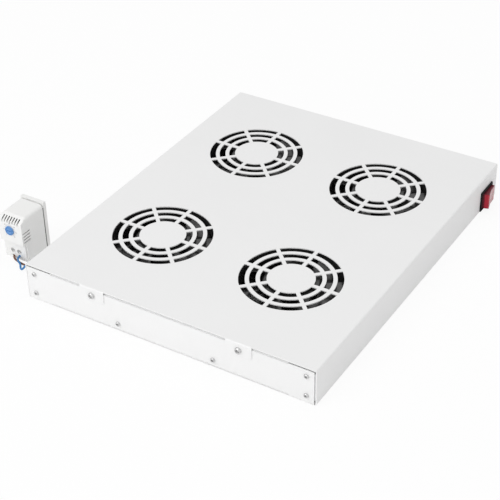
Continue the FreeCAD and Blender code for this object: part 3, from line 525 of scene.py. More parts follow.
class Workpiece:
    """A mesh in the making that ends as one finished piece."""

    def __init__(self) -> None:
        """Starts with an empty mesh."""
        self.mesh = bmesh.new()

    def lathe(self, profile: Profile, steps: int = 32) -> list[bmesh.types.BMVert]:
        """Spins an open profile of (radius, z) about Z into a skin.

        Args:
            profile: Points from one end to the other, in metres.
            steps: Facets round the turn.

        Returns:
            The vertices of the skin.
        """
        before = set(self.mesh.verts)
        points = [self.mesh.verts.new((radius, 0.0, z)) for radius, z in profile]
        edges = [self.mesh.edges.new(pair) for pair in zip(points, points[1:])]
        bmesh.ops.spin(
            self.mesh,
            geom=points + edges,
            cent=(0, 0, 0),
            axis=(0, 0, 1),
            angle=FULL_TURN,
            steps=steps,
            use_merge=True,
        )
        new = [vertex for vertex in self.mesh.verts if vertex not in before]
        bmesh.ops.remove_doubles(self.mesh, verts=new, dist=1e-7)
        new = [vertex for vertex in self.mesh.verts if vertex not in before]
        bmesh.ops.recalc_face_normals(self.mesh, faces=self.faces_of(new))
        return new

    def faces_of(self, vertices: Iterable[bmesh.types.BMVert]) -> list[bmesh.types.BMFace]:
        """Faces that touch any of the vertices."""
        return list({face for vertex in vertices for face in vertex.link_faces})

    def block(self, low: Point, high: Point) -> list[bmesh.types.BMVert]:
        """Adds a rectangular block between two corners.

        Args:
            low: Lowest corner.
            high: Highest corner.

        Returns:
            Its vertices.
        """
        middle = (Vector(low) + Vector(high)) / 2
        size = Vector(high) - Vector(low)
        matrix = Matrix.Translation(middle) @ Matrix.Diagonal((*size, 1))
        return bmesh.ops.create_cube(self.mesh, size=1.0, matrix=matrix)["verts"]

    def drum(self, sides: int, radius: float, low: float, high: float) -> list[bmesh.types.BMVert]:
        """Adds an upright prism with a regular base.

        Args:
            sides: Number of sides.
            radius: Radius of its corners.
            low: Height of its base.
            high: Height of its top.

        Returns:
            Its vertices.
        """
        matrix = Matrix.Translation((0, 0, (low + high) / 2))
        made = bmesh.ops.create_cone(
            self.mesh,
            cap_ends=True,
            segments=sides,
            radius1=radius,
            radius2=radius,
            depth=high - low,
            matrix=matrix,
        )
        return made["verts"]

    def cap(
        self, rim: Sequence[bmesh.types.BMEdge], outlines: Sequence[Sequence[Point]], drop: Matrix
    ) -> None:
        """Closes a flat rim with a face that has recesses in it.

        The fill merges points that are less than a few hundredths of a unit apart, so it is
        made at a scale of one unit to the millimetre.

        Args:
            rim: Edges of the rim.
            outlines: Corners of each recess, in the plane of the rim.
            drop: Matrix that carries an outline to the floor of its recess.
        """
        lips = []
        for outline in outlines:
            corners = [self.mesh.verts.new(corner) for corner in outline]
            lips.append([self.mesh.edges.new(pair) for pair in zip(corners, corners[1:] + corners[:1])])
        border = list(rim) + sum(lips, [])
        corners = list({vertex for edge in border for vertex in edge.verts})
        enlarged = Matrix.Scale(1 / MM, 4)
        self.place(corners, enlarged)
        bmesh.ops.triangle_fill(self.mesh, edges=border, use_beauty=True)
        self.place(corners, enlarged.inverted())
        for lip in lips:
            sunk = bmesh.ops.extrude_edge_only(self.mesh, edges=lip)["geom"]
            self.place([item for item in sunk if isinstance(item, bmesh.types.BMVert)], drop)
            bmesh.ops.contextual_create(
                self.mesh, geom=[item for item in sunk if isinstance(item, bmesh.types.BMEdge)]
            )

    def open_edges(self, vertices: Sequence[bmesh.types.BMVert]) -> list[bmesh.types.BMEdge]:
        """Edges of a skin that have a face on one side only."""
        known = set(vertices)
        return [edge for edge in self.mesh.edges if len(edge.link_faces) == 1 and edge.verts[0] in known]

    def rim_at(self, axis: int, level: float) -> list[bmesh.types.BMEdge]:
        """Open edges that lie in one plane across an axis."""
        return [
            edge
            for edge in self.mesh.edges
            if len(edge.link_faces) == 1
            and all(abs(vertex.co[axis] - level) < SAME_PLACE for vertex in edge.verts)
        ]

    def place(self, vertices: Sequence[bmesh.types.BMVert], matrix: Matrix) -> None:
        """Moves vertices by a matrix."""
        bmesh.ops.transform(self.mesh, matrix=matrix, verts=list(vertices))

    def round_edges(
        self,
        width: float,
        segments: int = 2,
        wanted: Callable[[bmesh.types.BMEdge], bool] | None = None,
        least_turn: float = radians(30),
    ) -> None:
        """Bevels the sharp edges.

        Args:
            width: Width of the bevel, in metres.
            segments: Facets across it.
            wanted: Test that an edge passes to be bevelled, beyond being sharp.
            least_turn: Smallest angle between faces that counts as sharp.
        """
        edges = [
            edge
            for edge in self.mesh.edges
            if len(edge.link_faces) == 2
            and edge.calc_face_angle(0.0) > least_turn
            and (wanted is None or wanted(edge))
        ]
        bmesh.ops.bevel(
            self.mesh,
            geom=edges,
            offset=width,
            offset_type="OFFSET",
            segments=segments,
            profile=0.5,
            affect="EDGES",
            material=-1,
            clamp_overlap=True,
        )

    def finish(
        self,
        name: str,
        material: str,
        body: str,
        replaces: Sequence[str] = (),
        crease: float = radians(35),
    ) -> bpy.types.Object:
        """Turns the mesh into an object that rides on a body.

        Args:
            name: The piece's name.
            material: Finish, which is also the record's slot.
            body: Body that it rides on.
            replaces: Nodes that it stands for.
            crease: Angle past which an edge stays sharp.

        Returns:
            The object.
        """
        for face in self.mesh.faces:
            face.smooth = True
        for edge in self.mesh.edges:
            edge.smooth = len(edge.link_faces) == 2 and edge.calc_face_angle(0.0) < crease
        data = bpy.data.meshes.new(name)
        self.mesh.to_mesh(data)
        self.mesh.free()
        data.materials.append(MATERIALS[material])
        piece = bpy.data.objects.new(name, data)
        bpy.context.scene.collection.objects.link(piece)
        even = piece.modifiers.new("even_shading", "WEIGHTED_NORMAL")
        even.keep_sharp = True
        return mounted(piece, body, replaces)


def mounted(
    piece: bpy.types.Object, body: str, replaces: Sequence[str] = ()
) -> bpy.types.Object:
    """Makes a piece ride on a body and stand for nodes.

    Args:
        piece: The piece.
        body: Body that it rides on.
        replaces: Nodes that it stands for.

    Returns:
        The piece.
    """
    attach(piece, body)
    if replaces:
        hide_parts(*replaces)
    LOG.info("made %s", piece.name)
    return piece


def pointed(position: Point, outward: Point) -> Matrix:
    """Matrix that sets something modelled along +Z at a position, facing outward."""
    turn = Vector((0, 0, 1)).rotation_difference(Vector(outward)).to_matrix().to_4x4()
    return Matrix.Translation(position) @ turn


def softened(node: str, width: float, segments: int = 2) -> Workpiece:
    """Merged copy of a solid with its edges broken.

    Args:
        node: The solid's name.
        width: Width of the edge break, in metres.
        segments: Facets across it.

    Returns:
        The copy.
    """
    piece = Workpiece()
    piece.mesh.from_mesh(frame["nodes"][node].data)
    bmesh.ops.remove_doubles(piece.mesh, verts=piece.mesh.verts, dist=2 * SAME_PLACE)
    bmesh.ops.dissolve_limit(
        piece.mesh, angle_limit=radians(1), verts=piece.mesh.verts, edges=piece.mesh.edges
    )
    piece.round_edges(width, segments)
    return piece


# ---- screws ---------------------------------------------------------------


@dataclass(frozen=True)
class PanScrew:
    """Pan-head screw with a cross recess."""

    head_r: float
    head_h: float
    shank_r: float
    length: float
    arm: float = 0.56
    arm_width: float = 0.17
    depth: float = 0.6
    taper: float = 0.62
    steps: int = 24

    def add_to(self, piece: Workpiece, position: Point, outward: Point, turn: float = 0.0) -> None:
        """Adds one screw, with its seat at a position.

        Args:
            piece: The workpiece that takes it.
            position: Centre of the seat, in metres.
            outward: Direction that the head faces.
            turn: Angle of the recess.
        """
        before = set(piece.mesh.verts)
        land = self.head_r * 0.66
        crown = [
            (0.0, -self.length),
            (self.shank_r * 0.8, -self.length),
            (self.shank_r, -self.length + self.shank_r * 0.3),
            (self.shank_r, 0.0),
            (self.head_r * 0.96, 0.0),
            (self.head_r, self.head_h * 0.12),
            (self.head_r, self.head_h * 0.38),
            (self.head_r * 0.95, self.head_h * 0.66),
            (self.head_r * 0.84, self.head_h * 0.88),
            (land, self.head_h),
        ]
        skin = piece.lathe(crown, self.steps)
        taper = Matrix.Diagonal((self.taper, self.taper, 1, 1))
        drop = Matrix.Translation((0, 0, -self.head_h * self.depth)) @ taper
        piece.cap(piece.open_edges(skin), [self._cross()], drop)
        new = [vertex for vertex in piece.mesh.verts if vertex not in before]
        bmesh.ops.recalc_face_normals(piece.mesh, faces=piece.faces_of(new))
        piece.place(new, pointed(position, outward) @ Matrix.Rotation(turn, 4, "Z"))

    def _cross(self) -> list[Point]:
        """Corners of the recess, at the top of the head."""
        reach = self.head_r * self.arm
        half = self.head_r * self.arm_width
        corners = []
        for quarter in range(4):
            turn = Matrix.Rotation(quarter * pi / 2, 3, "Z")
            ends = ((half, -half), (reach, -half), (reach, half))
            corners += [tuple(turn @ Vector((x, y, self.head_h))) for x, y in ends]
        return corners


@dataclass(frozen=True)
class PanelScrews:
    """Screws that hold the end panels and the tabs of the top sheet."""

    corner_inset: float = 11.5 * MM
    plate_gap: float = 18.0 * MM
    high: float = 34.0 * MM
    low: float = 9.0 * MM
    base_x: float = 60.0 * MM
    tab_x: float = 92.0 * MM
    tab_z: float = 35.5 * MM
    small: PanScrew = PanScrew(2.8 * MM, 2.0 * MM, 1.5 * MM, 6.0 * MM)
    large: PanScrew = PanScrew(3.8 * MM, 2.6 * MM, 2.0 * MM, 7.0 * MM)

    def build(self) -> None:
        """Makes both sets of screws."""
        half_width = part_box("bottom_plate")[1].x + self.plate_gap
        corner_x = half_width - self.corner_inset
        small = Workpiece()
        large = Workpiece()
        for side in SIDES:
            node = "front_panel" if side < 0 else "rear_panel"
            low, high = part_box(node)
            face = low.y if side < 0 else high.y
            tab_face = side * (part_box("tab_screws")[1].y - self.large.head_h)
            places = [(sx * corner_x, z) for sx in SIDES for z in (self.low, self.high)]
            places += [(sx * self.base_x, self.low) for sx in SIDES]
            for index, (x, z) in enumerate(places):
                self.small.add_to(small, (x, face, z), (0, side, 0), 0.7 * index)
            for sx in SIDES:
                self.large.add_to(large, (sx * self.tab_x, tab_face, self.tab_z), (0, side, 0), 0.4 + sx)
        small.finish("panel_pan_screws", "bright_screw", Body.TRAY.value, ["panel_screws"])
        large.finish("tab_pan_screws", "bright_screw", Body.TRAY.value, ["tab_screws"])


# ---- fans -----------------------------------------------------------------


@dataclass(frozen=True)
class Impeller:
    """Hub and twisted blades of one fan."""

    number: int
    hub_r: float = 31.8 * MM
    hub_round: float = 2.6 * MM
    hub_wall: float = 2.0 * MM
    hub_face: tuple[tuple[float, float], ...] = (
        (0.0, 0.5 * MM),
        (8.0 * MM, 0.5 * MM),
        (9.0 * MM, 1.0 * MM),
        (23.0 * MM, 1.0 * MM),
        (24.0 * MM, 0.0),
    )
    tip_r: float = 55.7 * MM
    blades: int = 7
    thickness: float = 1.5 * MM
    stations: int = 9
    cuts: int = 10
    blade_edge: float = 0.5 * MM
    root_r: float = 30.8 * MM
    chord: tuple[float, float] = (36.0 * MM, 50.0 * MM)
    pitch: tuple[float, float] = (radians(47), radians(27))
    sweep: float = 9.0 * MM
    camber: float = 0.11

    def build(self) -> None:
        """Makes the impeller in place of the solid one."""
        node = f"fan_{self.number}_impeller"
        low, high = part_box(node)
        centre = (low + high) / 2
        piece = Workpiece()
        blades = self._blades(piece, (high.z - low.z) / 2 - self.thickness / 2)
        piece.place(blades, Matrix.Translation((0, 0, centre.z)))
        self._hub(piece, low.z, high.z)
        piece.place(list(piece.mesh.verts), Matrix.Translation((centre.x, centre.y, 0)))
        piece.finish(
            f"impeller_{self.number}", "impeller_black", f"fan_{self.number}_wheel", [node], radians(50)
        )

    def _hub(self, piece: Workpiece, low: float, high: float) -> None:
        """Adds the hub: a cup with a rounded rim, a shallow dish and a centre boss."""
        inner = self.hub_r - self.hub_wall
        arc = [
            (
                self.hub_r - self.hub_round * (1 - cos(turn)),
                high - self.hub_round * (1 - sin(turn)),
            )
            for turn in (0.0, pi / 8, pi / 4, 3 * pi / 8, pi / 2)
        ]
        profile = [
            *((radius, high - sunk) for radius, sunk in self.hub_face),
            *reversed(arc),
            (self.hub_r, low),
            (inner, low),
            (inner, high - self.hub_wall),
            (0.0, high - self.hub_wall),
        ]
        piece.lathe(profile, 64)

    def _blades(self, piece: Workpiece, half_height: float) -> list[bmesh.types.BMVert]:
        """Sweeps one blade from root to tip, wraps it round the hub and repeats it.

        Args:
            piece: The workpiece.
            half_height: Half of the height that the blades may fill.

        Returns:
            The vertices of all blades, about the origin.
        """
        mesh = piece.mesh
        cuts = range(self.cuts + 1)
        line = [mesh.verts.new((self.root_r, -0.5 + cut / self.cuts, 0.0)) for cut in cuts]
        edges = [mesh.edges.new(pair) for pair in zip(line, line[1:])]
        step = (self.tip_r - self.root_r) / self.stations
        for _ in range(self.stations):
            grown = bmesh.ops.extrude_edge_only(mesh, edges=edges)["geom"]
            edges = [item for item in grown if isinstance(item, bmesh.types.BMEdge)]
            verts = [item for item in grown if isinstance(item, bmesh.types.BMVert)]
            bmesh.ops.translate(mesh, verts=verts, vec=(step, 0, 0))
        for vertex in mesh.verts:
            vertex.co = self._wrapped(vertex.co)
        bmesh.ops.recalc_face_normals(mesh, faces=mesh.faces)
        bmesh.ops.solidify(mesh, geom=list(mesh.faces), thickness=self.thickness)
        for vertex in mesh.verts:
            vertex.co.z = max(-half_height, min(half_height, vertex.co.z))
        piece.round_edges(self.blade_edge, 2, least_turn=radians(50))
        bmesh.ops.spin(
            mesh,
            geom=list(mesh.verts) + list(mesh.edges) + list(mesh.faces),
            cent=(0, 0, 0),
            axis=(0, 0, 1),
            angle=FULL_TURN * (self.blades - 1) / self.blades,
            steps=self.blades - 1,
            use_duplicate=True,
        )
        return list(mesh.verts)

    def _wrapped(self, flat: Vector) -> Vector:
        """Place on the twisted blade of a point given as (radius, share of the chord, 0)."""
        share = (flat.x - self.root_r) / (self.tip_r - self.root_r)
        chord = self.chord[0] + (self.chord[1] - self.chord[0]) * share
        pitch = self.pitch[0] + (self.pitch[1] - self.pitch[0]) * share
        rise = chord * self.camber * (1 - (2 * flat.y) ** 2)
        along = flat.y * chord
        y = along * cos(pitch) - rise * sin(pitch) + self.sweep * share
        z = along * sin(pitch) + rise * cos(pitch)
        turn = y / flat.x
        return Vector((flat.x * cos(turn), flat.x * sin(turn), z))


# ---- leads ----------------------------------------------------------------


@dataclass(frozen=True)
class Lead:
    """Insulated lead from the thermostat to the tray's wall."""

    name: str
    node: str
    finish: str
    length: float
    route: tuple[Point, ...]
    diameter: float = 2.4 * MM

    def build(self) -> None:
        """Makes the lead as a smooth curve along its route."""
        curve = bpy.data.curves.new(self.name, "CURVE")
        curve.dimensions = "3D"
        curve.bevel_depth = self.diameter / 2
        curve.bevel_resolution = 5
        curve.use_fill_caps = True
        spline = curve.splines.new("NURBS")
        spline.points.add(len(self.route) - 1)
        for point, place in zip(spline.points, self.route):
            point.co = (*place, 1.0)
        spline.order_u = 3
        spline.use_endpoint_u = True
        spline.resolution_u = 12
        curve.materials.append(MATERIALS[self.finish])
        lead = bpy.data.objects.new(self.name, curve)
        bpy.context.scene.collection.objects.link(lead)
        mounted(lead, Body.TRAY.value, [self.node])


LEADS = (
    Lead(
        "brown_lead",
        "lead_brown",
        "brown_insulation",
        0.0757,
        (
            (-0.2443, -0.1670, 0.0032),
            (-0.2443, -0.1739, 0.0032),
            (-0.2395, -0.1787, 0.0026),
            (-0.2310, -0.1802, 0.0014),
            (-0.2220, -0.1815, 0.0013),
            (-0.2135, -0.1828, 0.0045),
            (-0.2060, -0.1844, 0.0115),
            (-0.1990, -0.1866, 0.0188),
            (-0.1915, -0.1880, 0.0220),
            (-0.1846, -0.1880, 0.0220),
        ),
    ),
    Lead(
        "blue_lead",
        "lead_blue",
        "blue_insulation",
        0.0743,
        (
            (-0.2353, -0.1670, 0.0050),
            (-0.2353, -0.1776, 0.0054),
            (-0.2312, -0.1826, 0.0050),
            (-0.2262, -0.1842, 0.0032),
            (-0.2228, -0.1890, 0.0015),
            (-0.2184, -0.1912, 0.0024),
            (-0.2144, -0.1888, 0.0085),
            (-0.2080, -0.1880, 0.0155),
            (-0.2000, -0.1906, 0.0208),
            (-0.1920, -0.1920, 0.0220),
            (-0.1846, -0.1920, 0.0220),
        ),
    ),
)


# ---- switch ---------------------------------------------------------------


@dataclass(frozen=True)
class RockerMarks:
    """Moulded bar and ring on the two halves of the rocker."""

    pivot: Point = (0.1754, 0.1935, 0.015)
    tilt: float = radians(8.5)
    top: float = 14.0 * MM
    dish: float = 1.2 * MM
    half: float = 11.5 * MM
    away: float = 6.2 * MM
    proud: float = 0.12 * MM
    bar: tuple[float, float] = (0.9 * MM, 4.2 * MM)
    ring: tuple[float, float] = (1.35 * MM, 2.1 * MM)

    def build(self) -> None:
        """Makes both marks."""
        piece = Workpiece()
        width, length = self.bar
        bar = piece.block((-length / 2, -width / 2, -self.proud), (length / 2, width / 2, self.proud))
        piece.place(bar, self._on_face(-1))
        inner, outer = self.ring
        profile = [(inner, -self.proud), (outer, -self.proud), (outer, self.proud), (inner, self.proud)]
        ring = piece.lathe([*profile, profile[0]], 32)
        piece.place(ring, self._on_face(1))
        piece.finish("rocker_marks", "block_plastic", Body.ROCKER.value)

    def _on_face(self, side: int) -> Matrix:
        """Matrix that sets a mark on one half of the rocker's face."""
        height = self.top - self.dish * (1 - self.away / self.half)
        slope = self.dish / self.half
        seat = pointed((height, side * self.away, 0), (1, -side * slope, 0))
        return Matrix.Translation(self.pivot) @ Matrix.Rotation(self.tilt, 4, "Z") @ seat


# ---- thermostat -----------------------------------------------------------


@dataclass(frozen=True)
class ThermostatShell:
    """Front shell with an arched top, vent slits in its brow and level slots in its sides."""

    deep: float = 39.5 * MM
    # seam_inset, seam_lap and the inner sizes place near-black blocks of painted shade inside the shell.
    seam_inset: float = 0.4 * MM
    seam_lap: tuple[float, float] = (0.1 * MM, 0.5 * MM)
    inner: float = 0.8 * MM
    inner_rear: float = 1.0 * MM
    inner_floor: float = 25.5 * MM
    inner_steps: tuple[tuple[float, float], ...] = ((2.6 * MM, 53.8 * MM), (5.0 * MM, 55.2 * MM))
    high: float = 58.5 * MM
    arch: float = 4.5 * MM
    arch_steps: int = 5
    brow: tuple[float, float] = (9.0 * MM, 5.5 * MM)
    step: tuple[float, float] = (6.0 * MM, 24.0 * MM)
    brow_bend: float = 0.62
    soft: float = 0.7 * MM
    crease: float = radians(24)
    slit_wall: float = 0.98
    vents: int = 7
    vent_pitch: float = 3.65 * MM
    vent_width: float = 1.8 * MM
    vent_drop: float = 2.6 * MM
    vent_deep: float = 3.2 * MM
    side_slots: int = 4
    slot_pitch: float = 4.0 * MM
    slot_size: tuple[float, float] = (12.0 * MM, 1.2 * MM)
    slot_start: tuple[float, float] = (2.0 * MM, 27.0 * MM)
    slot_deep: float = 3.0 * MM

    def build(self) -> None:
        """Makes the shell in place of the solid one."""
        low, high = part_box("thermostat_case")
        piece = Workpiece()
        rows = [
            [piece.mesh.verts.new((x, low.y + y, low.z + z)) for y, z in self._section(inset, sunk)]
            for x, inset, sunk in self._stations(low.x, high.x)
        ]
        for row, after in zip(rows, rows[1:]):
            for a, b, c, d in zip(row, row[1:] + row[:1], after[1:] + after[:1], after):
                piece.mesh.faces.new((a, b, c, d))
        bmesh.ops.remove_doubles(piece.mesh, verts=piece.mesh.verts, dist=SAME_PLACE)
        for side, x in ((-1, low.x), (1, high.x)):
            drop = Matrix.Translation((-side * self.slot_deep, 0, 0))
            piece.cap(piece.rim_at(0, x), self._slots(x, low), drop)
        bmesh.ops.recalc_face_normals(piece.mesh, faces=piece.mesh.faces)
        piece.finish(
            "thermostat_shell", "thermostat_grey", Body.TRAY.value, ["thermostat_case"], self.crease
        )
        # Near-black blocks of painted shade inside the shell and in its seam.
        self._build_painted_shade(low, high)

    def _build_painted_shade(self, low: Vector, high: Vector) -> None:
        """Makes near-black blocks that paint the shade behind the slits, and a dark sheet that paints
        the shadow line of the seam.

        Args:
            low: Lowest corner of the shell.
            high: Highest corner of the shell.
        """
        # These blocks are painted shade, in the near-black rubber finish.
        dark = Workpiece()
        edge = self.seam_inset
        overlap, reach = self.seam_lap
        dark.block(
            (low.x + edge, low.y + self.deep - overlap, low.z + edge),
            (high.x - edge, high.y + reach, high.z - self.arch - edge),
        )
        rear = low.y + self.deep - self.inner_rear
        for front, top in self.inner_steps:
            dark.block(
                (low.x + self.inner, low.y + front, low.z + self.inner_floor),
                (high.x - self.inner, rear, low.z + top),
            )
        dark.finish("thermostat_painted_shade", "grommet_rubber", Body.TRAY.value)

    def _stations(self, left: float, right: float) -> list[tuple[float, float, bool]]:
        """Cuts across the shell from left to right, as (x, drop of the arch, whether in a slit)."""
        middle = (left + right) / 2
        turns = [pi / 2 * index / self.arch_steps for index in range(self.arch_steps + 1)]
        arch = [(1 - cos(turn), 1 - sin(turn)) for turn in turns]
        stations = [(left + self.arch * x, self.arch * z, False) for x, z in arch]
        for index in range(self.vents):
            at = middle + self.vent_pitch * (index - (self.vents - 1) / 2)
            wall = self.slit_wall
            for x, sunk in ((-1, False), (-wall, True), (wall, True), (1, False)):
                stations.append((at + x * self.vent_width / 2, 0.0, sunk))
        return stations + [(right - self.arch * x, self.arch * z, False) for x, z in reversed(arch)]

    def _section(self, inset: float, sunk: bool) -> list[tuple[float, float]]:
        """Outline (y, z) of one cut, from the rear foot round the front to the rear top.

        Args:
            inset: Drop of the top below its full height.
            sunk: Whether the cut goes through a vent slit.

        Returns:
            The corners.
        """
        step_y, step_z = self.step
        brow_y, brow_z = self.brow
        top = self.high - inset
        sill = self.high - brow_z
        inward = self.vent_deep if sunk else 0.0
        bend_y = brow_y * self.brow_bend
        bend_z = sill + brow_z * self.brow_bend
        return [
            (self.deep, 0.0),
            (step_y, 0.0),
            (step_y, step_z - self.soft),
            (step_y - self.soft * 0.4, step_z),
            (self.soft * 0.4, step_z),
            (0.0, step_z + self.soft),
            (0.0, sill - self.vent_drop),
            (inward, sill - self.vent_drop),
            (inward, sill - self.soft * 0.6),
            (inward + self.soft * 0.3, sill),
            (inward + bend_y, min(top, bend_z) - inward * 0.4),
            (bend_y + 0.2 * MM, min(top, bend_z + brow_z * 0.02)),
            (brow_y, min(top, sill + brow_z * 0.95)),
            (brow_y + 1.2 * MM, top),
            (self.deep, top),
        ]

    def _slots(self, x: float, low: Vector) -> list[list[Point]]:
        """Outlines of the level slots in one side."""
        long, wide = self.slot_size
        front = low.y + self.slot_start[0]
        outlines = []
        for index in range(self.side_slots):
            z = low.z + self.slot_start[1] + self.slot_pitch * index
            outlines.append(
                [(x, front, z), (x, front + long, z), (x, front + long, z + wide), (x, front, z + wide)]
            )
        return outlines


@dataclass(frozen=True)
class TerminalPlate:
    """Plate over the thermostat's terminals, with a well for each screw and a hole for each lead."""

    low: Point = (-255.7 * MM, -174.0 * MM, 0.3 * MM)
    high: Point = (-225.3 * MM, -171.8 * MM, 23.0 * MM)
    deep: float = 1.85 * MM
    screws: tuple[float, ...] = (-244.3 * MM, -235.3 * MM)
    screw_z: float = 10.6 * MM
    well_r: float = 3.1 * MM
    leads: tuple[tuple[float, float], ...] = ((-244.3 * MM, 3.2 * MM), (-235.3 * MM, 5.0 * MM))
    lead_r: float = 1.6 * MM
    screw: PanScrew = PanScrew(2.5 * MM, 0.9 * MM, 1.2 * MM, 5.0 * MM)

    def build(self) -> None:
        """Makes the plate and the two clamp screws."""
        piece = Workpiece()
        piece.block(self.low, self.high)
        face = min(piece.mesh.faces, key=lambda item: item.calc_center_median().y)
        rim = list(face.edges)
        bmesh.ops.delete(piece.mesh, geom=[face], context="FACES_ONLY")
        places = [(x, self.screw_z, self.well_r) for x in self.screws]
        places += [(x, z, self.lead_r) for x, z in self.leads]
        piece.cap(rim, [self._ring(*place) for place in places], Matrix.Translation((0, self.deep, 0)))
        bmesh.ops.recalc_face_normals(piece.mesh, faces=piece.mesh.faces)
        piece.finish("terminal_plate", "thermostat_grey", Body.TRAY.value)
        clamps = Workpiece()
        for index, x in enumerate(self.screws):
            seat = (x, self.low[1] + self.deep, self.screw_z)
            self.screw.add_to(clamps, seat, (0, -1, 0), 0.4 + index)
        clamps.finish("clamp_screws", "bright_screw", Body.TRAY.value, ["thermostat_screws"])

    def _ring(self, x: float, z: float, radius: float) -> list[Point]:
        """Outline of a round hole in the plate's face."""
        turns = [FULL_TURN * index / 20 for index in range(20)]
        return [(x + radius * cos(turn), self.low[1], z + radius * sin(turn)) for turn in turns]


@dataclass(frozen=True)
class SettingDial:
    """Setting knob with a ribbed rim and a screwdriver slot."""

    centre: Point = (-0.2413, -0.1783, 0.0410)
    radius: float = 5.8 * MM
    proud: float = 1.6 * MM
    spindle_r: float = 3.2 * MM
    spindle: float = 7.0 * MM
    ribs: int = 20
    rib_depth: float = 0.035
    slot: tuple[float, float] = (6.4 * MM, 1.2 * MM)
    slot_deep: float = 0.9 * MM

    def build(self) -> None:
        """Makes the knob in place of the solid one."""
        piece = Workpiece()
        rim, top = self.radius, self.proud
        groove = top - 0.7 * MM
        land = rim - 1.9 * MM
        level = top - 0.1 * MM
        profile = [
            (0.0, -self.spindle),
            (self.spindle_r, -self.spindle),
            (self.spindle_r, 0.0),
            (rim, 0.0),
            (rim, top - 0.45 * MM),
            (rim - 0.4 * MM, top),
            (rim - 0.9 * MM, top),
            (rim - 1.1 * MM, groove),
            (rim - 1.6 * MM, groove),
            (land, level),
        ]
        skin = piece.lathe(profile, self.ribs * 4)
        for vertex in skin:
            if hypot(vertex.co.x, vertex.co.y) > rim - 0.5 * MM:
                self._rib(vertex)
        half_long, half_wide = self.slot[0] / 2, self.slot[1] / 2
        outline = [
            (-half_long, -half_wide, level),
            (half_long, -half_wide, level),
            (half_long, half_wide, level),
            (-half_long, half_wide, level),
        ]
        piece.cap(piece.open_edges(skin), [outline], Matrix.Translation((0, 0, -self.slot_deep)))
        bmesh.ops.recalc_face_normals(piece.mesh, faces=piece.mesh.faces)
        piece.place(list(piece.mesh.verts), pointed(self.centre, (0, -1, 0)))
        piece.finish("setting_dial", "dial_blue", Body.DIAL.value, ["thermostat_dial"])

    def _rib(self, vertex: bmesh.types.BMVert) -> None:
        """Draws a vertex of the rim inwards when it lies between two ribs."""
        turn = Vector((vertex.co.x, vertex.co.y)).angle_signed(Vector((1, 0)))
        if cos(turn * self.ribs) < -0.1:
            vertex.co.x *= 1 - self.rib_depth
            vertex.co.y *= 1 - self.rib_depth


@dataclass(frozen=True)
class DialScale:
    """Printed ticks and numerals round the setting dial."""

    centre: Point = (-0.2413, -0.1780, 0.0410)
    sweep: float = radians(280)
    ticks: int = 25
    ring: tuple[float, float] = (6.9 * MM, 7.7 * MM)
    long_tick: float = 0.5 * MM
    width: float = 0.28 * MM
    thickness: float = 0.03 * MM
    numerals: tuple[str, ...] = ("0", "10", "20", "30", "40", "50", "60")
    numeral_r: float = 9.2 * MM
    numeral_size: float = 2.1 * MM

    def build(self) -> None:
        """Makes the print."""
        piece = Workpiece()
        for index in range(self.ticks):
            long = index % 4 == 0
            outer = self.ring[1] + (self.long_tick if long else 0.0)
            half = self.width / 2
            tick = piece.block((-half, self.ring[0], 0), (half, outer, self.thickness))
            piece.place(tick, Matrix.Rotation(self._turn(index / (self.ticks - 1)), 4, "Z"))
        for index, text in enumerate(self.numerals):
            turn = self._turn(index / (len(self.numerals) - 1))
            place = (-self.numeral_r * sin(turn), self.numeral_r * cos(turn), 0.0)
            self._numeral(piece, text, place)
        face = Matrix.Translation(self.centre) @ Matrix.Rotation(pi / 2, 4, "X")
        piece.place(list(piece.mesh.verts), face)
        piece.finish("dial_scale", "clip_plastic", Body.TRAY.value)

    def _turn(self, share: float) -> float:
        """Angle of a mark, from its share of the scale."""
        return self.sweep * (0.5 - share)

    def _numeral(self, piece: Workpiece, text: str, place: Point) -> None:
        """Adds a numeral to the print.

        Args:
            piece: The workpiece.
            text: The numeral.
            place: Its centre, in the plane of the scale.
        """
        curve = bpy.data.curves.new("numeral", "FONT")
        curve.body = text
        curve.size = self.numeral_size
        curve.align_x = "CENTER"
        curve.align_y = "CENTER"
        curve.extrude = self.thickness / 2
        curve.resolution_u = 3
        holder = bpy.data.objects.new("numeral", curve)
        outline = bpy.data.meshes.new_from_object(holder)
        before = set(piece.mesh.verts)
        piece.mesh.from_mesh(outline)
        new = [vertex for vertex in piece.mesh.verts if vertex not in before]
        piece.place(new, Matrix.Translation(place) @ Matrix.Translation((0, 0, self.thickness / 2)))
        bpy.data.objects.remove(holder)
        bpy.data.curves.remove(curve)
        bpy.data.meshes.remove(outline)


THERMOSTAT = (ThermostatShell(), TerminalPlate(), SettingDial(), DialScale())


# ---- other fastenings and rubber ------------------------------------------


@dataclass(frozen=True)
class FanScrews:
    """Screws under the bottom plate that hold the fans."""

    pitch: tuple[float, float] = (83.0 * MM, 102.0 * MM)
    hole: float = 52.5 * MM
    seat: float = 3.7 * MM
    screw: PanScrew = PanScrew(3.6 * MM, 2.4 * MM, 2.1 * MM, 10.0 * MM)

    def build(self) -> None:
        """Makes the sixteen screws."""
        piece = Workpiece()
        centres = [(sx * self.pitch[0], sy * self.pitch[1]) for sy in SIDES for sx in SIDES]
        corners = [(sx * self.hole, sy * self.hole) for sx in SIDES for sy in SIDES]
        places = [(x + dx, y + dy, self.seat) for x, y in centres for dx, dy in corners]
        for index, place in enumerate(places):
            self.screw.add_to(piece, place, (0, 0, -1), 0.9 * index)
        piece.finish("fan_pan_screws", "bright_screw", Body.TRAY.value, ["fan_screws"])


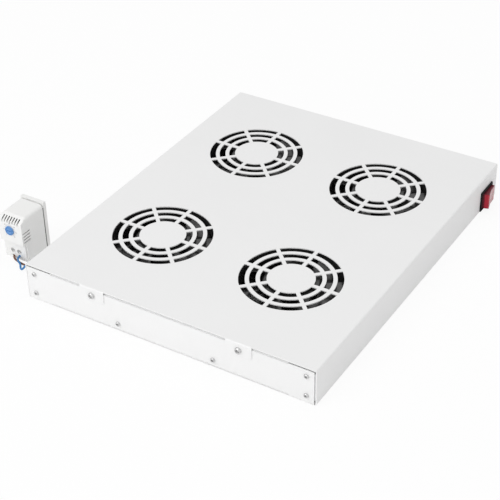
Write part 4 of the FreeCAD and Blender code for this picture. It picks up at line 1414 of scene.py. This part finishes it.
@dataclass(frozen=True)
class InletScrews:
    """Screws and nuts of the mains inlet."""

    centre: Point = (140.0 * MM, 226.3 * MM, 22.0 * MM)
    away: float = 20.0 * MM
    nut_y: float = 222.6 * MM
    nut: tuple[float, float] = (3.1 * MM, 2.4 * MM)
    screw: PanScrew = PanScrew(2.7 * MM, 1.8 * MM, 1.5 * MM, 8.0 * MM)

    def build(self) -> None:
        """Makes both screws with their nuts."""
        piece = Workpiece()
        x, y, z = self.centre
        for side in SIDES:
            at = x + side * self.away
            nut = piece.drum(6, self.nut[0], 0.0, self.nut[1])
            piece.place(nut, pointed((at, self.nut_y, z), (0, -1, 0)))
            self.screw.add_to(piece, (at, y, z), (0, 1, 0), 0.5 + side)
        piece.finish("inlet_pan_screws", "bright_screw", Body.TRAY.value, ["inlet_screws"])


@dataclass(frozen=True)
class Grommet:
    """Rubber grommet with a rounded lip, closed round the leads."""

    centre: Point = (-182.0 * MM, -190.0 * MM, 22.0 * MM)
    radius: float = 6.5 * MM
    proud: float = 2.6 * MM
    neck: float = 4.5 * MM
    sheet: float = 1.2 * MM
    inner: float = 2.0 * MM

    def build(self) -> None:
        """Makes the grommet in place of the solid one."""
        piece = Workpiece()
        lip, bulge = self.radius, self.proud
        profile = [
            (0.0, bulge * 0.8),
            (lip * 0.5, bulge * 0.82),
            (lip * 0.62, bulge),
            (lip * 0.8, bulge * 0.96),
            (lip * 0.94, bulge * 0.72),
            (lip, bulge * 0.36),
            (lip, 0.0),
            (self.neck, 0.0),
            (self.neck, -self.sheet),
            (lip, -self.sheet),
            (lip, -self.sheet - self.inner * 0.6),
            (lip * 0.9, -self.sheet - self.inner),
            (0.0, -self.sheet - self.inner),
        ]
        skin = piece.lathe(profile, 40)
        piece.place(skin, pointed(self.centre, (-1, 0, 0)))
        piece.finish("rubber_grommet", "grommet_rubber", Body.TRAY.value, ["lead_grommet"])


FASTENINGS = (FanScrews(), InletScrews(), Grommet())


@dataclass(frozen=True)
class BrokenEdges:
    """Copy of a solid with its sharp edges broken."""

    node: str
    finish: str
    width: float
    segments: int = 2
    body: str = Body.TRAY.value

    def build(self) -> None:
        """Makes the copy in place of the solid."""
        softened(self.node, self.width, self.segments).finish(
            f"{self.node}_edged", self.finish, self.body, [self.node]
        )


@dataclass(frozen=True)
class FrontPanel:
    """Front panel with broken edges, close against the left-hand wall and clear of the top sheet."""

    node: str = "front_panel"
    width: float = 0.2 * MM
    left: float = 1.2 * MM
    drop: float = 0.8 * MM
    sag: float = 0.22 * MM
    left_band: float = 1.0 * MM
    top_band: float = 1.2 * MM
    base_band: float = 0.6 * MM

    def build(self) -> None:
        """Makes the copy in place of the solid."""
        low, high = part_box(self.node)
        piece = softened(self.node, self.width)
        for vertex in piece.mesh.verts:
            if vertex.co.x < low.x + self.left_band:
                vertex.co.x -= self.left
            if vertex.co.z > high.z - self.top_band:
                vertex.co.z -= self.drop
            elif vertex.co.z < low.z + self.base_band:
                vertex.co.z -= self.sag
        piece.finish("front_panel_edged", "powder_coat", Body.TRAY.value, [self.node])


EDGED = (
    FrontPanel(),
    BrokenEdges("switch_housing", "switch_black", 0.35 * MM),
    BrokenEdges("switch_rocker", "rocker_red", 0.5 * MM, 3, Body.ROCKER.value),
    BrokenEdges("inlet_body", "inlet_black", 0.4 * MM),
    BrokenEdges("inlet_pins", "tin_brass", 0.25 * MM),
    BrokenEdges("terminal_block", "block_plastic", 0.5 * MM),
    BrokenEdges("thermostat_back", "thermostat_grey", 0.35 * MM),
    BrokenEdges("thermostat_clip", "clip_plastic", 0.2 * MM),
    BrokenEdges("corner_brackets", "zinc_plate", 0.15 * MM),
)


# ---- studio ---------------------------------------------------------------


@dataclass(frozen=True)
class Softbox:
    """Rectangular lamp that faces a point."""

    name: str
    place: Point
    size: tuple[float, float]
    watts: float
    target: Point = (0.0, 0.0, 0.0)

    def build(self) -> None:
        """Makes the lamp."""
        lamp = bpy.data.lights.new(self.name, "AREA")
        lamp.shape = "RECTANGLE"
        lamp.size, lamp.size_y = self.size
        lamp.energy = self.watts
        holder = bpy.data.objects.new(self.name, lamp)
        holder.location = self.place
        facing = Vector(self.target) - Vector(self.place)
        holder.rotation_euler = facing.to_track_quat("-Z", "Y").to_euler()
        bpy.context.scene.collection.objects.link(holder)


@dataclass(frozen=True)
class Studio:
    """Camera, soft light, floor and white surroundings."""

    aim: Point = (0.0176, -0.0792, 0.0445)
    distance: float = 1.5317
    azimuth: float = radians(31.91)
    elevation: float = radians(35.05)
    roll: float = radians(-1.12)
    lens: float = 100.05
    ambient: float = 0.62
    floor_size: float = 12.0
    floor_white: float = 0.9
    shade: tuple[float, float] = (0.181, 0.224)
    lamps: tuple[Softbox, ...] = (
        Softbox("key_softbox", (-0.9, -1.5, 1.9), (1.6, 1.2), 14.0),
        Softbox("front_softbox", (-0.4, -2.6, 0.75), (2.0, 1.0), 13.0),
        Softbox("side_softbox", (2.6, -0.6, 0.8), (1.6, 1.0), 4.0),
        Softbox("top_softbox", (0.3, 0.5, 2.2), (1.8, 1.8), 9.0),
    )

    def build(self) -> None:
        """Makes everything round the object."""
        self._camera()
        self._world()
        self._floor()
        for lamp in self.lamps:
            lamp.build()
        bpy.context.scene.view_settings.view_transform = "Standard"

    def _camera(self) -> None:
        """Sets the camera at its distance from the point that it looks at."""
        data = bpy.data.cameras.new("camera")
        data.lens = self.lens
        data.clip_start = 0.05
        data.clip_end = 50.0
        camera = bpy.data.objects.new("camera", data)
        back = Vector(
            (
                sin(self.azimuth) * cos(self.elevation),
                -cos(self.azimuth) * cos(self.elevation),
                sin(self.elevation),
            )
        )
        turn = (-back).to_track_quat("-Z", "Y").to_matrix() @ Matrix.Rotation(self.roll, 3, "Z")
        camera.rotation_euler = turn.to_euler()
        camera.location = Vector(self.aim) + back * self.distance
        bpy.context.scene.collection.objects.link(camera)
        bpy.context.scene.camera = camera

    def _world(self) -> None:
        """White to the camera and in reflections, and a softer white as light."""
        world = bpy.data.worlds.new("surroundings")
        world.use_nodes = True
        bpy.context.scene.world = world
        tree = world.node_tree
        tree.nodes.clear()
        path = tree.nodes.new("ShaderNodeLightPath")
        ray = Signal(tree, path.outputs["Is Camera Ray"])
        glossy = Signal(tree, path.outputs["Is Glossy Ray"])
        through = Signal(tree, path.outputs["Is Transmission Ray"])
        background = tree.nodes.new("ShaderNodeBackground")
        strength = self.ambient + (1.0 - self.ambient) * ray + 0.25 * (glossy + through)
        connect(tree, (1.0, 1.0, 1.0), background.inputs["Color"])
        connect(tree, strength, background.inputs["Strength"])
        output = tree.nodes.new("ShaderNodeOutputWorld")
        tree.links.new(background.outputs[0], output.inputs["Surface"])

    def _floor(self) -> None:
        """Pale floor that keeps the object's shadow, dark under the tray and clear from below."""
        recipe = Recipe("floor_paper")
        path = recipe.node("ShaderNodeLightPath", output=None)
        ray = Signal(recipe.tree, path.outputs["Is Camera Ray"])
        split = recipe.node("ShaderNodeSeparateXYZ", sockets={0: recipe.place}, output=None)
        across = abs(Signal(recipe.tree, split.outputs["X"])) < self.shade[0]
        lengthways = abs(Signal(recipe.tree, split.outputs["Y"])) < self.shade[1]
        recipe.set(Base_Color=(0.93, 0.93, 0.93), Roughness=0.9)
        recipe.set(Specular_IOR_Level=0.0)
        white = recipe.node("ShaderNodeEmission", sockets={"Color": (1.0, 1.0, 1.0), "Strength": 1.0})
        share = self.floor_white * ray * (1.0 - across * lengthways)
        paper = recipe.node("ShaderNodeMixShader", sockets={0: share, 1: recipe.shader, 2: white})
        back = recipe.node("ShaderNodeNewGeometry", output="Backfacing")
        clear = recipe.node("ShaderNodeBsdfTransparent")
        mixed = recipe.node("ShaderNodeMixShader", sockets={0: back, 1: paper, 2: clear})
        recipe.tree.links.new(mixed.socket, recipe.output.inputs["Surface"])
        mesh = bmesh.new()
        bmesh.ops.create_grid(mesh, x_segments=1, y_segments=1, size=self.floor_size / 2)
        bmesh.ops.translate(mesh, verts=mesh.verts, vec=(0, 0, CAD_BOX[0].z - 0.05 * MM))
        data = bpy.data.meshes.new("floor")
        mesh.to_mesh(data)
        mesh.free()
        data.materials.append(recipe.material)
        floor = bpy.data.objects.new("floor", data)
        bpy.context.scene.collection.objects.link(floor)


def main() -> None:
    """Builds the looks piece by piece."""
    Studio().build()
    dress_solids()
    for lead in LEADS:
        lead.build()
    PanelScrews().build()
    for number in FAN_NUMBERS:
        Impeller(number).build()
    for piece in (RockerMarks(), *THERMOSTAT, *FASTENINGS, *EDGED):
        piece.build()


if __name__ == "__main__":
    main()
